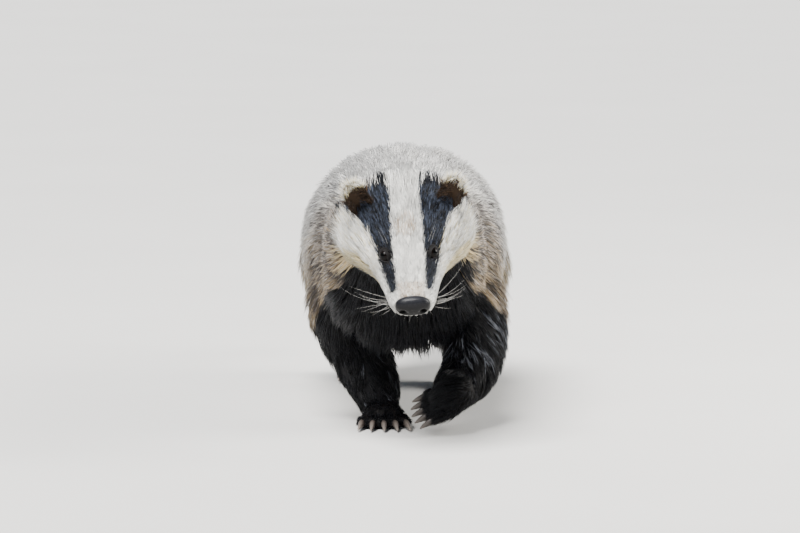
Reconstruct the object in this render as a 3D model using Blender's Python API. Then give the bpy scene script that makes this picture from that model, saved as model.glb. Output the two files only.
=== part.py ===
"""A European badger as a still, life-size figure, walking with its left forepaw lifted.

Metres, +Z up. The animal faces -Y, its left side is +X, and the floor is z = 0.
Every flesh part is a loft through a few named stations, which give the outline
out to the tips of the coat. Trunk, neck and tail have a smaller core that
carries the long coat as flat, tapered locks, and the legs meet that core face
to face, with a small gap.
"""

import math
import random

import bmesh
import bpy
import numpy as np
from mathutils import Matrix, Vector
from mathutils.bvhtree import BVHTree

# Gap between touching parts
GAP = 0.0003
LEG_GAP = 0.0005
THIN = 0.0000012
DRESS_TRIES = 25

# Head: nose tip, attitude and length
NOSE_TIP = Vector((0.009, -0.412, 0.1450))
HEAD_PITCH = math.radians(36)
HEAD_YAW = math.radians(4.2)
HEAD_ROLL = math.radians(-4.5)
HEAD_LENGTH = 0.140
HEAD_SEGMENTS = 28

# Head sections, in metres from the nose tip along the head's own axis:
# distance, centre height, half width, height above, depth below
HEAD_STATIONS = [
    (0.003, -0.003, 0.0130, 0.0080, 0.007),
    (0.006, -0.003, 0.0180, 0.0110, 0.011),
    (0.012, -0.003, 0.0225, 0.0135, 0.014),
    (0.022, -0.002, 0.0255, 0.0155, 0.016),
    (0.035, 0.000, 0.0290, 0.0180, 0.019),
    (0.050, 0.001, 0.0340, 0.0220, 0.021),
    (0.062, 0.001, 0.0410, 0.0270, 0.024),
    (0.078, -0.002, 0.0520, 0.0350, 0.029),
    (0.095, -0.007, 0.0630, 0.0440, 0.034),
    (0.112, -0.012, 0.0700, 0.0520, 0.039),
    (0.128, -0.016, 0.0720, 0.0580, 0.043),
    (HEAD_LENGTH, -0.018, 0.0715, 0.0610, 0.045),
]
HEAD_RINGS = 22
HEAD_SQUARENESS = 2.2

# Nose pad, eyes and ears, in the head's own frame: side, back, up
PAD_CENTRE = Vector((0, 0.0075, -0.001))
PAD_HALF = Vector((0.0175, 0.0080, 0.0105))
NOSTRIL_CENTRE = Vector((0.0095, 0.0005, -0.0030))
NOSTRIL_RADIUS = 0.0030
EYE_CENTRE = Vector((0.0224, 0.0610, 0.0185))
EYE_RADIUS = 0.0068
LID_RADIUS = 0.0060
LID_THICKNESS = 0.0020
EAR_BASE = Vector((0.0385, 0.118, 0.0255))
EAR_HEIGHT = 0.036
EAR_HALF_WIDTH = 0.0130
EAR_CUP = 0.009
EAR_WALL = 0.0034
EAR_LEAN = math.radians(20)
EAR_BACK = math.radians(20)
MOUTH_GROOVE = 0.0009

# Trunk sections: y, height of the centre, half width, height above, depth below
TORSO_FRONT = -0.195
TORSO_STATIONS = [
    (TORSO_FRONT, 0.170, 0.084, 0.090, 0.087),
    (-0.150, 0.164, 0.096, 0.095, 0.084),
    (-0.070, 0.160, 0.104, 0.101, 0.076),
    (0.030, 0.159, 0.108, 0.104, 0.068),
    (0.120, 0.160, 0.110, 0.103, 0.066),
    (0.200, 0.162, 0.104, 0.096, 0.065),
    (0.255, 0.165, 0.084, 0.081, 0.057),
    (0.288, 0.170, 0.058, 0.058, 0.042),
    (0.308, 0.176, 0.034, 0.032, 0.026),
]
TORSO_RINGS = 16
BODY_SEGMENTS = 24
BODY_SQUARENESS = 2.1
BELLY_SQUARENESS = 2.7
NECK_RINGS = 7
NECK_SWELL = 0.05

# Tail: root to tip
TAIL_STATIONS = [
    (0.3083, 0.176, 0.036, 0.032, 0.026),
    (0.340, 0.171, 0.036, 0.031, 0.027),
    (0.380, 0.156, 0.036, 0.030, 0.028),
    (0.415, 0.136, 0.030, 0.025, 0.024),
    (0.440, 0.118, 0.017, 0.015, 0.015),
    (0.456, 0.104, 0.003, 0.003, 0.003),
]
TAIL_RINGS = 12
TAIL_SEGMENTS = 14
TAIL_CORE = 0.62

# Legs, as they stand: points down the limb with half width and half depth
LEG_RINGS = 9
LEG_SEGMENTS = 10
LEGS = {
    "foreleg_R": [
        (-0.044, -0.142, 0.185, 0.028, 0.042),
        (-0.056, -0.134, 0.148, 0.032, 0.045),
        (-0.062, -0.127, 0.112, 0.036, 0.041),
        (-0.052, -0.130, 0.083, 0.034, 0.035),
        (-0.039, -0.144, 0.056, 0.031, 0.029),
        (-0.028, -0.160, 0.030, 0.026, 0.024),
        (-0.023, -0.170, 0.012, 0.020, 0.018),
    ],
    "foreleg_L": [
        (0.044, -0.142, 0.185, 0.028, 0.042),
        (0.058, -0.144, 0.150, 0.032, 0.045),
        (0.068, -0.152, 0.118, 0.036, 0.043),
        (0.072, -0.166, 0.090, 0.034, 0.038),
        (0.068, -0.195, 0.060, 0.030, 0.030),
        (0.055, -0.222, 0.045, 0.026, 0.023),
        (0.050, -0.238, 0.037, 0.020, 0.018),
    ],
    "hindleg_L": [
        (0.050, 0.175, 0.165, 0.044, 0.068),
        (0.069, 0.152, 0.122, 0.041, 0.059),
        (0.072, 0.146, 0.090, 0.033, 0.044),
        (0.067, 0.158, 0.058, 0.024, 0.029),
        (0.061, 0.167, 0.032, 0.021, 0.024),
        (0.058, 0.163, 0.014, 0.017, 0.018),
    ],
    "hindleg_R": [
        (-0.050, 0.190, 0.165, 0.044, 0.068),
        (-0.067, 0.188, 0.122, 0.041, 0.059),
        (-0.066, 0.198, 0.090, 0.033, 0.044),
        (-0.057, 0.226, 0.058, 0.024, 0.029),
        (-0.050, 0.243, 0.033, 0.021, 0.024),
        (-0.047, 0.242, 0.014, 0.017, 0.018),
    ],
}

# Paws: middle of the sole, way the toes point, way up, and which kind of foot
PAWS = {
    "foreleg_R": ((-0.021, -0.180, 0.0), (0.02, -1.0, 0.0), (0.0, 0.0, 1.0), "fore"),
    "foreleg_L": ((0.053, -0.246, 0.030), (-0.86, 0.0, -0.30), (-0.28, -0.48, 0.80), "lifted"),
    "hindleg_L": ((0.057, 0.128, 0.0), (0.10, -1.0, 0.0), (0.0, 0.0, 1.0), "hind"),
    "hindleg_R": ((-0.046, 0.205, 0.0), (-0.06, -1.0, 0.0), (0.0, 0.0, 1.0), "hind"),
}
# Foot sizes: heel distance, front distance, half width, height, toe reach, toe radius, claw length
FEET = {
    "fore": (0.022, 0.020, 0.0250, 0.026, 0.036, 0.0068, 0.025),
    "lifted": (0.022, 0.020, 0.0240, 0.026, 0.033, 0.0066, 0.014),
    "hind": (0.050, 0.018, 0.0215, 0.025, 0.033, 0.0062, 0.014),
}
TOE_SPREAD = math.radians(9)
TOE_COUNT = 5
CLAW_BASE = 0.0038

# Long coat: how far its tips stand over the core, and its locks' root, section and places
COAT_DEPTH = 0.011
BELLY_DEPTH = 0.004
LOCK_ROOT = 0.006
LOCK_THICKNESS = 0.0042
LOCK_PROFILE = ((0.0, 0.60), (0.34, 1.0), (0.64, 0.84), (0.86, 0.46))
LOCK_STEPS = 12
LOCK_PROBE = 0.05
LOCK_TRIES = 5
LOCK_LIFT = 0.0025
LOCK_TURN = 0.90
CLEARANCE = 0.0005
LOCK_FLOOR = 0.020
DROOP_TOP = 0.10
DROOP_SIDE = 0.75
TRUNK_ROWS = 9
TRUNK_LOCKS = 12
TRUNK_LOCK = (0.090, 0.042)
TRUNK_SWEEP = math.radians(128)
TRUNK_ENDS = (0.020, 0.045)
NECK_ROWS = 3
NECK_LOCKS = 10
NECK_LOCK = (0.058, 0.036)
NECK_SWEEP = math.radians(160)
TAIL_ROWS = 3
TAIL_LOCKS = 5
TAIL_LOCK = (0.070, 0.036)
NECK_FIRST = 0.16
NECK_LAST = 0.74
TAIL_FIRST = 0.16
TAIL_LAST = 0.70
SEED = 3

WHITE_COAT = ("coat_white", (0.80, 0.78, 0.72), 0.9)
GREY_COAT = ("coat_grey", (0.45, 0.43, 0.40), 0.9)
BLACK_COAT = ("coat_black", (0.03, 0.028, 0.027), 0.85)
NOSE_SKIN = ("nose_skin", (0.05, 0.04, 0.04), 0.35)
EYE_GLASS = ("eye", (0.01, 0.008, 0.007), 0.08)
CLAW_HORN = ("claw_horn", (0.35, 0.29, 0.22), 0.4)


def material(finish):
    """The named finish as a material, made once."""
    name, colour, roughness = finish
    found = bpy.data.materials.get(name)
    if found:
        return found
    made = bpy.data.materials.new(name)
    made.use_nodes = True
    shader = made.node_tree.nodes["Principled BSDF"]
    shader.inputs["Base Color"].default_value = (*colour, 1)
    shader.inputs["Roughness"].default_value = roughness
    return made


def through(rows, count):
    """Smooth rows read from a curve through the given rows, evenly by distance."""
    keys = np.array(rows, float)
    steps = np.linalg.norm(np.diff(keys[:, :3], axis=0), axis=1)
    at = np.concatenate([[0], np.cumsum(steps)])
    slopes = np.gradient(keys, at, axis=0)
    out = []
    for s in np.linspace(0, at[-1], count):
        i = min(int(np.searchsorted(at, s, side="right")) - 1, len(at) - 2)
        span = at[i + 1] - at[i]
        t = (s - at[i]) / span
        a = keys[i] * (2 * t**3 - 3 * t**2 + 1) + keys[i + 1] * (3 * t**2 - 2 * t**3)
        b = slopes[i] * (t**3 - 2 * t**2 + t) + slopes[i + 1] * (t**3 - t**2)
        out.append(a + b * span)
    return out


def oval(centre, side, up, half_width, above, below, segments, square_above, square_below=None):
    """A ring of points: an oval whose upper and lower halves differ in height and squareness."""
    points = []
    for k in range(segments):
        angle = 2 * math.pi * k / segments
        c, s = math.cos(angle), math.sin(angle)
        squareness = square_above if s > 0 else (square_below or square_above)
        across = math.copysign(abs(c) ** (2 / squareness), c) * half_width
        rise = math.copysign(abs(s) ** (2 / squareness), s) * (above if s > 0 else below)
        points.append(centre + side * across + up * rise)
    return points


def loft(name, rings, finish, collection=None):
    """A closed mesh through rings of equal count, with flat caps."""
    mesh = bmesh.new()
    layers = [[mesh.verts.new(p) for p in ring] for ring in rings]
    count = len(layers[0])
    for a, b in zip(layers, layers[1:]):
        for k in range(count):
            n = (k + 1) % count
            mesh.faces.new((a[k], a[n], b[n], b[k]))
    mesh.faces.new(reversed(layers[0]))
    mesh.faces.new(layers[-1])
    bmesh.ops.recalc_face_normals(mesh, faces=mesh.faces)
    if mesh.calc_volume(signed=True) < 0:
        bmesh.ops.reverse_faces(mesh, faces=mesh.faces)
    data = bpy.data.meshes.new(name)
    mesh.to_mesh(data)
    mesh.free()
    data.shade_smooth()
    data.materials.append(material(finish))
    obj = bpy.data.objects.new(name, data)
    (collection or bpy.context.scene.collection).objects.link(obj)
    return obj


def ball(name, centre, half, frame, finish, segments=16, rings=10):
    """A closed ellipsoid with its own axes given by the frame's columns."""
    mesh = bmesh.new()
    bmesh.ops.create_uvsphere(mesh, u_segments=segments, v_segments=rings, radius=1)
    place = Matrix.Translation(centre) @ frame.to_4x4() @ Matrix.Diagonal((*half, 1))
    bmesh.ops.transform(mesh, matrix=place, verts=mesh.verts)
    if mesh.calc_volume(signed=True) < 0:
        bmesh.ops.reverse_faces(mesh, faces=mesh.faces)
    data = bpy.data.meshes.new(name)
    mesh.to_mesh(data)
    mesh.free()
    data.shade_smooth()
    data.materials.append(material(finish))
    obj = bpy.data.objects.new(name, data)
    bpy.context.scene.collection.objects.link(obj)
    return obj


def grown(obj, by):
    """A helper copy of a solid with every face moved outwards."""
    mesh = bmesh.new()
    mesh.from_mesh(obj.data)
    mesh.normal_update()
    for vert, step in [(v, v.normal * by) for v in mesh.verts]:
        vert.co += step
    data = bpy.data.meshes.new(obj.name + "_grown")
    mesh.to_mesh(data)
    mesh.free()
    copy = bpy.data.objects.new(data.name, data)
    bpy.context.scene.collection.objects.link(copy)
    return copy


def keep_largest(data):
    """Drops every closed surface of a mesh but the largest."""
    mesh = bmesh.new()
    mesh.from_mesh(data)
    left = set(mesh.faces)
    shells = []
    while left:
        stack = [left.pop()]
        shell = list(stack)
        while stack:
            for edge in stack.pop().edges:
                if len(edge.link_faces) != 2:
                    continue
                for face in edge.link_faces:
                    if face in left:
                        left.discard(face)
                        stack.append(face)
                        shell.append(face)
        shells.append(shell)
    shells.sort(key=lambda shell: sum(f.calc_area() for f in shell), reverse=True)
    for shell in shells[1:]:
        bmesh.ops.delete(mesh, geom=shell, context="FACES")
    loose = [v for v in mesh.verts if not v.link_faces]
    bmesh.ops.delete(mesh, geom=loose, context="VERTS")
    bmesh.ops.triangulate(mesh, faces=mesh.faces, quad_method="BEAUTY", ngon_method="BEAUTY")
    mesh.to_mesh(data)
    mesh.free()


def combine(obj, others, operation, solver="EXACT"):
    """Joins or cuts obj with closed mesh objects, applies it and removes them."""
    group = bpy.data.collections.new(obj.name + "_" + operation.lower())
    bpy.context.scene.collection.children.link(group)
    for other in others:
        for owner in list(other.users_collection):
            owner.objects.unlink(other)
        group.objects.link(other)
    step = obj.modifiers.new(operation.title(), "BOOLEAN")
    step.operation = operation
    step.operand_type = "COLLECTION"
    step.collection = group
    step.solver = solver
    bpy.context.view_layer.update()
    graph = bpy.context.evaluated_depsgraph_get()
    data = bpy.data.meshes.new_from_object(obj.evaluated_get(graph))
    obj.modifiers.clear()
    obj.data = data
    data.name = obj.name
    keep_largest(data)
    for other in list(group.objects):
        bpy.data.objects.remove(other)
    bpy.data.collections.remove(group)
    return obj


def head_frame():
    """The head's axes in the world: side, back along the skull, up."""
    yaw = Matrix.Rotation(HEAD_YAW, 3, "Z")
    pitch = Matrix.Rotation(HEAD_PITCH, 3, "X")
    roll = Matrix.Rotation(HEAD_ROLL, 3, "Y")
    return yaw @ pitch @ roll


def on_head(point):
    """A point of the head's own frame in the world."""
    return NOSE_TIP + head_frame() @ Vector(point)


def mirrored(point, hand):
    """The point on the animal's left (hand 1) or right (hand -1)."""
    return Vector((point[0] * hand, point[1], point[2]))


def head_ring(row, extra=0.0):
    """One head section as points in the world."""
    back, centre, half_width, above, below = row
    axes = head_frame()
    return oval(
        on_head((0, back + extra, centre)),
        axes.col[0],
        axes.col[2],
        half_width,
        above,
        below,
        HEAD_SEGMENTS,
        HEAD_SQUARENESS,
    )


def torso_ring(row, segments=BODY_SEGMENTS):
    """One upright section of the trunk's core as points."""
    y, z, half_width, above, below = row
    half_width, above, below = half_width - COAT_DEPTH, above - COAT_DEPTH, below - BELLY_DEPTH
    side, up = Vector((1, 0, 0)), Vector((0, 0, 1))
    sizes = (half_width, above, below, segments)
    return oval(Vector((0, y, z)), side, up, *sizes, BODY_SQUARENESS, BELLY_SQUARENESS)


def spaced(rows, count):
    """Stations read evenly along their first column."""
    keys = np.array(rows, float)
    at = keys[:, 0]
    slopes = np.gradient(keys, at, axis=0)
    out = []
    for s in np.linspace(at[0], at[-1], count):
        i = min(int(np.searchsorted(at, s, side="right")) - 1, len(at) - 2)
        span = at[i + 1] - at[i]
        t = (s - at[i]) / span
        a = keys[i] * (2 * t**3 - 3 * t**2 + 1) + keys[i + 1] * (3 * t**2 - 2 * t**3)
        b = slopes[i] * (t**3 - 2 * t**2 + t) + slopes[i + 1] * (t**3 - t**2)
        out.append(a + b * span)
    return out


def make_torso():
    """Trunk from the shoulders to the tail's root."""
    return loft("torso", [torso_ring(r) for r in spaced(TORSO_STATIONS, TORSO_RINGS)], GREY_COAT)


def make_neck():
    """Neck between the last head section and the first trunk section."""
    axes = head_frame().to_quaternion()
    level = Matrix.Identity(3).to_quaternion()
    last, first = HEAD_STATIONS[-1], TORSO_STATIONS[0]
    start = on_head((0, HEAD_LENGTH + GAP, last[1]))
    end = Vector((0, TORSO_FRONT - GAP, first[1]))
    reach = (end - start).length
    leave, arrive = axes @ Vector((0, reach, 0)), Vector((0, reach, 0))
    rings = []
    for k in range(NECK_RINGS):
        t = k / (NECK_RINGS - 1)
        ease = t * t * (3 - 2 * t)
        centre = (
            start * (2 * t**3 - 3 * t**2 + 1)
            + leave * (t**3 - 2 * t**2 + t)
            + end * (3 * t**2 - 2 * t**3)
            + arrive * (t**3 - t**2)
        )
        turn = axes.slerp(level, ease).to_matrix()
        swell = 1 + NECK_SWELL * math.sin(math.pi * t)
        depths = (COAT_DEPTH * ease, COAT_DEPTH * ease, BELLY_DEPTH * ease)
        sizes = [
            (last[i] * (1 - ease) + first[i] * ease) * swell - depth
            for i, depth in zip((2, 3, 4), depths)
        ]
        top = HEAD_SQUARENESS * (1 - t) + BODY_SQUARENESS * t
        low = HEAD_SQUARENESS * (1 - t) + BELLY_SQUARENESS * t
        rings.append(oval(centre, turn.col[0], turn.col[2], *sizes, BODY_SEGMENTS, top, low))
    return loft("neck", rings, GREY_COAT)


def make_tail():
    """Short bushy tail, hanging behind."""
    rows = through(TAIL_STATIONS, TAIL_RINGS)
    rings = []
    for i, row in enumerate(rows):
        ahead, behind = rows[min(i + 1, len(rows) - 1)], rows[max(i - 1, 0)]
        along = Vector((0, ahead[0] - behind[0], ahead[1] - behind[1])).normalized()
        if i == 0:
            along = Vector((0, 1, 0))
        up = Vector((0, -along.z, along.y))
        centre = Vector((0, row[0], row[1]))
        share = TAIL_CORE + (1 - TAIL_CORE) * (i == 0)
        rings.append(oval(centre, Vector((1, 0, 0)), up, *(row[2:] * share), TAIL_SEGMENTS, 2.0))
    return loft("tail", rings, GREY_COAT)


def make_head():
    """Skull and muzzle with lids, lips, the line of the mouth and the nose pad's seat."""
    rows = spaced(HEAD_STATIONS, HEAD_RINGS)
    return loft("head", [head_ring(r) for r in rows], WHITE_COAT)


def eye_out(hand):
    """The way an eye looks, in the world."""
    return (head_frame() @ Vector((0.62 * hand, -0.55, 0.56))).normalized()


def make_lid(hand):
    """A closed ring of skin round one eye."""
    out = eye_out(hand)
    across = out.orthogonal().normalized()
    over = out.cross(across)
    centre = on_head(mirrored(EYE_CENTRE, hand)) + out * (EYE_RADIUS * 0.52)
    mesh = bmesh.new()
    around, round_ = 14, 5
    loops = []
    for i in range(around):
        a = 2 * math.pi * i / around
        way = across * math.cos(a) + over * math.sin(a)
        hub = centre + way * LID_RADIUS
        loops.append(
            [
                mesh.verts.new(
                    hub
                    + (way * math.cos(b) + out * math.sin(b)) * LID_THICKNESS
                )
                for b in (2 * math.pi * j / round_ for j in range(round_))
            ]
        )
    for i in range(around):
        a, b = loops[i], loops[(i + 1) % around]
        for j in range(round_):
            n = (j + 1) % round_
            mesh.faces.new((a[j], b[j], b[n], a[n]))
    bmesh.ops.recalc_face_normals(mesh, faces=mesh.faces)
    if mesh.calc_volume(signed=True) < 0:
        bmesh.ops.reverse_faces(mesh, faces=mesh.faces)
    data = bpy.data.meshes.new("lid")
    mesh.to_mesh(data)
    mesh.free()
    obj = bpy.data.objects.new("lid", data)
    bpy.context.scene.collection.objects.link(obj)
    return obj


def make_eye(hand, name, extra=0.0, segments=12, rings=8):
    """One eyeball, set in the head."""
    centre = on_head(mirrored(EYE_CENTRE, hand))
    radius = EYE_RADIUS + extra
    turn = eye_out(hand).to_track_quat("Z", "Y").to_matrix()
    return ball(name, centre, (radius,) * 3, turn, EYE_GLASS, segments, rings)


def make_pad(name, extra=0.0):
    """The nose pad as a rounded block."""
    half = PAD_HALF + Vector((extra,) * 3)
    return ball(name, on_head(PAD_CENTRE), half, head_frame(), NOSE_SKIN, 16, 8)


def make_nostril(hand):
    """The hole of one nostril, a cutter."""
    centre = on_head(mirrored(NOSTRIL_CENTRE, hand))
    half = (NOSTRIL_RADIUS * 1.25, NOSTRIL_RADIUS * 1.4, NOSTRIL_RADIUS * 0.85)
    return ball("nostril", centre, half, head_frame(), NOSE_SKIN, 10, 6)


def section_at(back):
    """The head's section at a distance behind the nose tip."""
    keys = np.array(HEAD_STATIONS, float)
    return [float(np.interp(back, keys[:, 0], keys[:, i])) for i in range(1, 5)]


def make_mouth(hand):
    """The line of the mouth along one side of the muzzle, a cutter."""
    axes = head_frame()
    rings = []
    for k in range(8):
        back = 0.010 + 0.044 * k / 7
        centre, half_width, _, below = section_at(back)
        angle = math.radians(-38 - 8 * math.sin(math.pi * k / 7))
        across = abs(math.cos(angle)) ** (2 / HEAD_SQUARENESS) * half_width
        drop = abs(math.sin(angle)) ** (2 / HEAD_SQUARENESS) * below
        middle = on_head((hand * across, back, centre - drop))
        out = axes @ Vector((hand * math.cos(angle), 0, math.sin(angle)))
        over = axes @ Vector((-hand * math.sin(angle), 0, math.cos(angle)))
        rings.append(oval(middle, out, over, 0.0016, MOUTH_GROOVE, MOUTH_GROOVE, 6, 2.0))
    return loft("mouth", rings, WHITE_COAT)


def make_ear(hand, name):
    """One rounded ear with a hollow cup that opens forwards."""
    axes = head_frame()
    lean = Matrix.Rotation(EAR_LEAN * hand, 3, "Y")
    turn = Matrix.Rotation(math.radians(-22) * hand, 3, "Z")
    tip_back = Matrix.Rotation(-EAR_BACK, 3, "X")
    frame = axes @ turn @ lean @ tip_back
    side, back, up = (frame.col[i].normalized() for i in range(3))
    base = on_head(mirrored(EAR_BASE, hand))
    rows, columns = 7, 8
    front, rear = [], []
    for i in range(rows):
        t = i / (rows - 1)
        width = EAR_HALF_WIDTH * math.sqrt(max(1 - ((t - 0.42) / 0.60) ** 2, 0.02))
        line_front, line_rear = [], []
        for j in range(columns):
            s = 2 * j / (columns - 1) - 1
            cup = EAR_CUP * (1 - s * s) * (1 - 0.75 * t)
            place = base + up * (EAR_HEIGHT * t) + side * (width * s)
            thin = EAR_WALL * (1 - 0.35 * t) * (1 - 0.4 * s * s)
            line_front.append(place + back * cup)
            line_rear.append(place + back * (cup + thin))
        front.append(line_front)
        rear.append(line_rear)
    mesh = bmesh.new()
    fore = [[mesh.verts.new(p) for p in line] for line in front]
    aft = [[mesh.verts.new(p) for p in line] for line in rear]
    for i in range(rows - 1):
        for j in range(columns - 1):
            mesh.faces.new((fore[i][j], fore[i][j + 1], fore[i + 1][j + 1], fore[i + 1][j]))
            mesh.faces.new((aft[i][j], aft[i + 1][j], aft[i + 1][j + 1], aft[i][j + 1]))
    for i in range(rows - 1):
        mesh.faces.new((fore[i][0], fore[i + 1][0], aft[i + 1][0], aft[i][0]))
        mesh.faces.new((fore[i][-1], aft[i][-1], aft[i + 1][-1], fore[i + 1][-1]))
    for j in range(columns - 1):
        mesh.faces.new((fore[0][j], aft[0][j], aft[0][j + 1], fore[0][j + 1]))
        mesh.faces.new((fore[-1][j], fore[-1][j + 1], aft[-1][j + 1], aft[-1][j]))
    bmesh.ops.recalc_face_normals(mesh, faces=mesh.faces)
    if mesh.calc_volume(signed=True) < 0:
        bmesh.ops.reverse_faces(mesh, faces=mesh.faces)
    data = bpy.data.meshes.new(name)
    mesh.to_mesh(data)
    mesh.free()
    data.shade_smooth()
    data.materials.append(material(BLACK_COAT))
    obj = bpy.data.objects.new(name, data)
    bpy.context.scene.collection.objects.link(obj)
    return obj


def paw_axes(leg):
    """Side, forward and up of one paw, and the middle of its sole."""
    centre, forward, up, kind = PAWS[leg]
    ahead = Vector(forward).normalized()
    side = ahead.cross(Vector(up)).normalized()
    return Vector(centre), side, ahead, side.cross(ahead).normalized(), kind


def make_limb(leg):
    """The limb from inside the trunk down to the paw."""
    rows = through(LEGS[leg], LEG_RINGS)
    rings = []
    for i, row in enumerate(rows):
        ahead, behind = rows[min(i + 1, len(rows) - 1)], rows[max(i - 1, 0)]
        along = Vector(ahead[:3] - behind[:3]).normalized()
        side = Vector((1, 0, 0))
        side = (side - along * side.dot(along)).normalized()
        depth = along.cross(side)
        rings.append(oval(Vector(row[:3]), side, depth, row[3], row[4], row[4], LEG_SEGMENTS, 2.0))
    return loft(leg, rings, BLACK_COAT)


def make_paw(leg):
    """The flat of the foot, without toes."""
    centre, side, ahead, up, kind = paw_axes(leg)
    heel, front, half_width, height, _, _, _ = FEET[kind]
    rings = []
    count = 6
    for k in range(count):
        t = k / (count - 1)
        along = -heel + (heel + front) * t
        fat = max(math.sin(math.pi * (0.10 + 0.76 * t)), 0.2) ** 0.5
        width = half_width * (0.62 + 0.38 * t) * fat
        tall = height * (0.5 + 0.12 * (1 - t)) * fat
        middle = centre + ahead * along + up * (height * 0.42)
        rings.append(oval(middle, side, up, width, tall, height * 0.46, 10, 2.3))
    return loft(leg + "_paw", rings, BLACK_COAT)


def toe_line(leg, i):
    """Start, tip and radius of toe i, from the foot's inner to its outer side."""
    centre, side, ahead, up, kind = paw_axes(leg)
    _, front, half_width, _, reach, radius, _ = FEET[kind]
    across = (i - (TOE_COUNT - 1) / 2) / ((TOE_COUNT - 1) / 2)
    way = (ahead + side * math.tan(TOE_SPREAD) * across).normalized()
    rise = radius - 0.0006
    start = centre + side * (half_width * 0.72 * across) + up * (rise + 0.001) + ahead * (front * 0.1)
    length = (reach - front * 0.1) * (1 - 0.14 * across * across)
    return start, start + way * length - up * 0.001, radius, way, up


def make_toe(leg, i):
    """One toe, ending in a small flat face that carries the claw."""
    start, tip, radius, way, up = toe_line(leg, i)
    side = way.cross(up).normalized()
    over = side.cross(way)
    rings = []
    shape = ((0.0, 0.85), (0.50, 0.95), (0.80, 1.0), (0.96, 0.82), (1.0, 0.66))
    for t, fat in shape:
        middle = start.lerp(tip, t)
        rings.append(oval(middle, side, over, radius * fat, radius * fat, radius * fat, 6, 2.0))
    return loft(leg + "_toe", rings, BLACK_COAT)


def make_claw(leg, i):
    """One curved claw, face to face with its toe."""
    _, tip, _, way, up = toe_line(leg, i)
    kind = PAWS[leg][3]
    length = FEET[kind][6]
    side = way.cross(up).normalized()
    over = side.cross(way)
    rings = []
    for t in (0.0, 0.4, 0.75, 1.0):
        middle = tip + way * (GAP + length * t) - over * (length * 0.16 * t * t)
        fat = CLAW_BASE * (1 - 0.86 * t**1.4)
        rings.append(oval(middle, side, over, fat * 0.85, fat, fat, 6, 2.0))
    number = i + 1
    name = "claw_" + leg.replace("leg", "") + "_" + str(number)
    return loft(name, rings, CLAW_HORN)


def make_leg(leg, bodies):
    """Limb, paw and toes as one solid, cut to the body's surface and to the floor."""
    limb = make_limb(leg)
    pieces = [make_paw(leg)] + [make_toe(leg, i) for i in range(TOE_COUNT)]
    combine(limb, pieces, "UNION")
    mesh = bmesh.new()
    bmesh.ops.create_cube(mesh, size=1.0)
    bmesh.ops.translate(mesh, vec=(0, 0, -0.5), verts=mesh.verts)
    data = bpy.data.meshes.new("floor")
    mesh.to_mesh(data)
    mesh.free()
    below = bpy.data.objects.new("floor", data)
    bpy.context.scene.collection.objects.link(below)
    combine(limb, [grown(body, LEG_GAP) for body in bodies] + [below], "DIFFERENCE")
    return limb


def tree_of(objects, grow=0.0):
    """A search tree over the surfaces of some solids, moved outwards by grow."""
    points, faces = [], []
    for obj in objects:
        mesh = bmesh.new()
        mesh.from_mesh(obj.data)
        mesh.normal_update()
        first = len(points)
        points += [v.co + v.normal * grow for v in mesh.verts]
        faces += [[first + v.index for v in f.verts] for f in mesh.faces]
        mesh.free()
    return BVHTree.FromPolygons(points, faces)


def follow(tree, start, out, lie, length):
    """Points and outward directions along the surface, from start along the coat's lie."""
    step = length / LOCK_STEPS
    place, points, ways = start, [start], [out]
    for _ in range(LOCK_STEPS):
        way = lie(place)
        way = (way - out * way.dot(out)).normalized()
        ahead = place + way * step
        hit, normal, _, _ = tree.ray_cast(ahead + out * LOCK_PROBE, -out, 2 * LOCK_PROBE)
        if hit is None:
            hit, normal = ahead, out
        place = hit
        out = (out + normal * 1.5).normalized()
        points.append(place)
        ways.append(out)
    for _ in range(3):
        inner = [(a + b * 2 + c) / 4 for a, b, c in zip(points, points[1:], points[2:])]
        points = [points[0]] + inner + [points[-1]]
    return points, ways


def lock_rings(path, width, lift, rise, bend):
    """Diamond sections of one lock, from its sunk root to its tip, or None where it would fold."""
    points, ways = path
    before = None
    last = len(points) - 1
    rings = []
    for t, share in LOCK_PROFILE + ((1.0, 0.0),):
        at = t * last
        i = min(int(at), last - 1)
        f = at - i
        centre = points[i].lerp(points[i + 1], f)
        out = ways[i].lerp(ways[i + 1], f).normalized()
        along = (points[i + 1] - points[i]).normalized()
        side = along.cross(out).normalized()
        over = side.cross(along).normalized()
        if before and (side.dot(before[0]) < LOCK_TURN or over.dot(before[1]) < LOCK_TURN):
            return None
        before = (side, over)
        height = -LOCK_ROOT + (LOCK_ROOT + rise) * t ** 0.75 + lift * math.sin(math.pi * t / 1.3)
        centre = centre + over * height + side * (bend * t * t)
        half, thick = width * share / 2, LOCK_THICKNESS / 2 * (0.55 + 0.45 * share)
        if share == 0:
            rings.append([centre])
        else:
            corners = (side * half, over * thick, side * -half, over * -thick)
            rings.append([centre + corner for corner in corners])
    return rings


def lock_faces(rings):
    """Faces of a lock's rings, closed at the root and running to the tip."""
    faces = [(3, 2, 1, 0)]
    for r in range(len(rings) - 2):
        for k in range(4):
            n = (k + 1) % 4
            faces.append((4 * r + k, 4 * r + n, 4 * r + 4 + n, 4 * r + 4 + k))
    tip = 4 * (len(rings) - 1)
    for k in range(4):
        faces.append((tip - 4 + k, tip - 4 + (k + 1) % 4, tip))
    return faces


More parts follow.
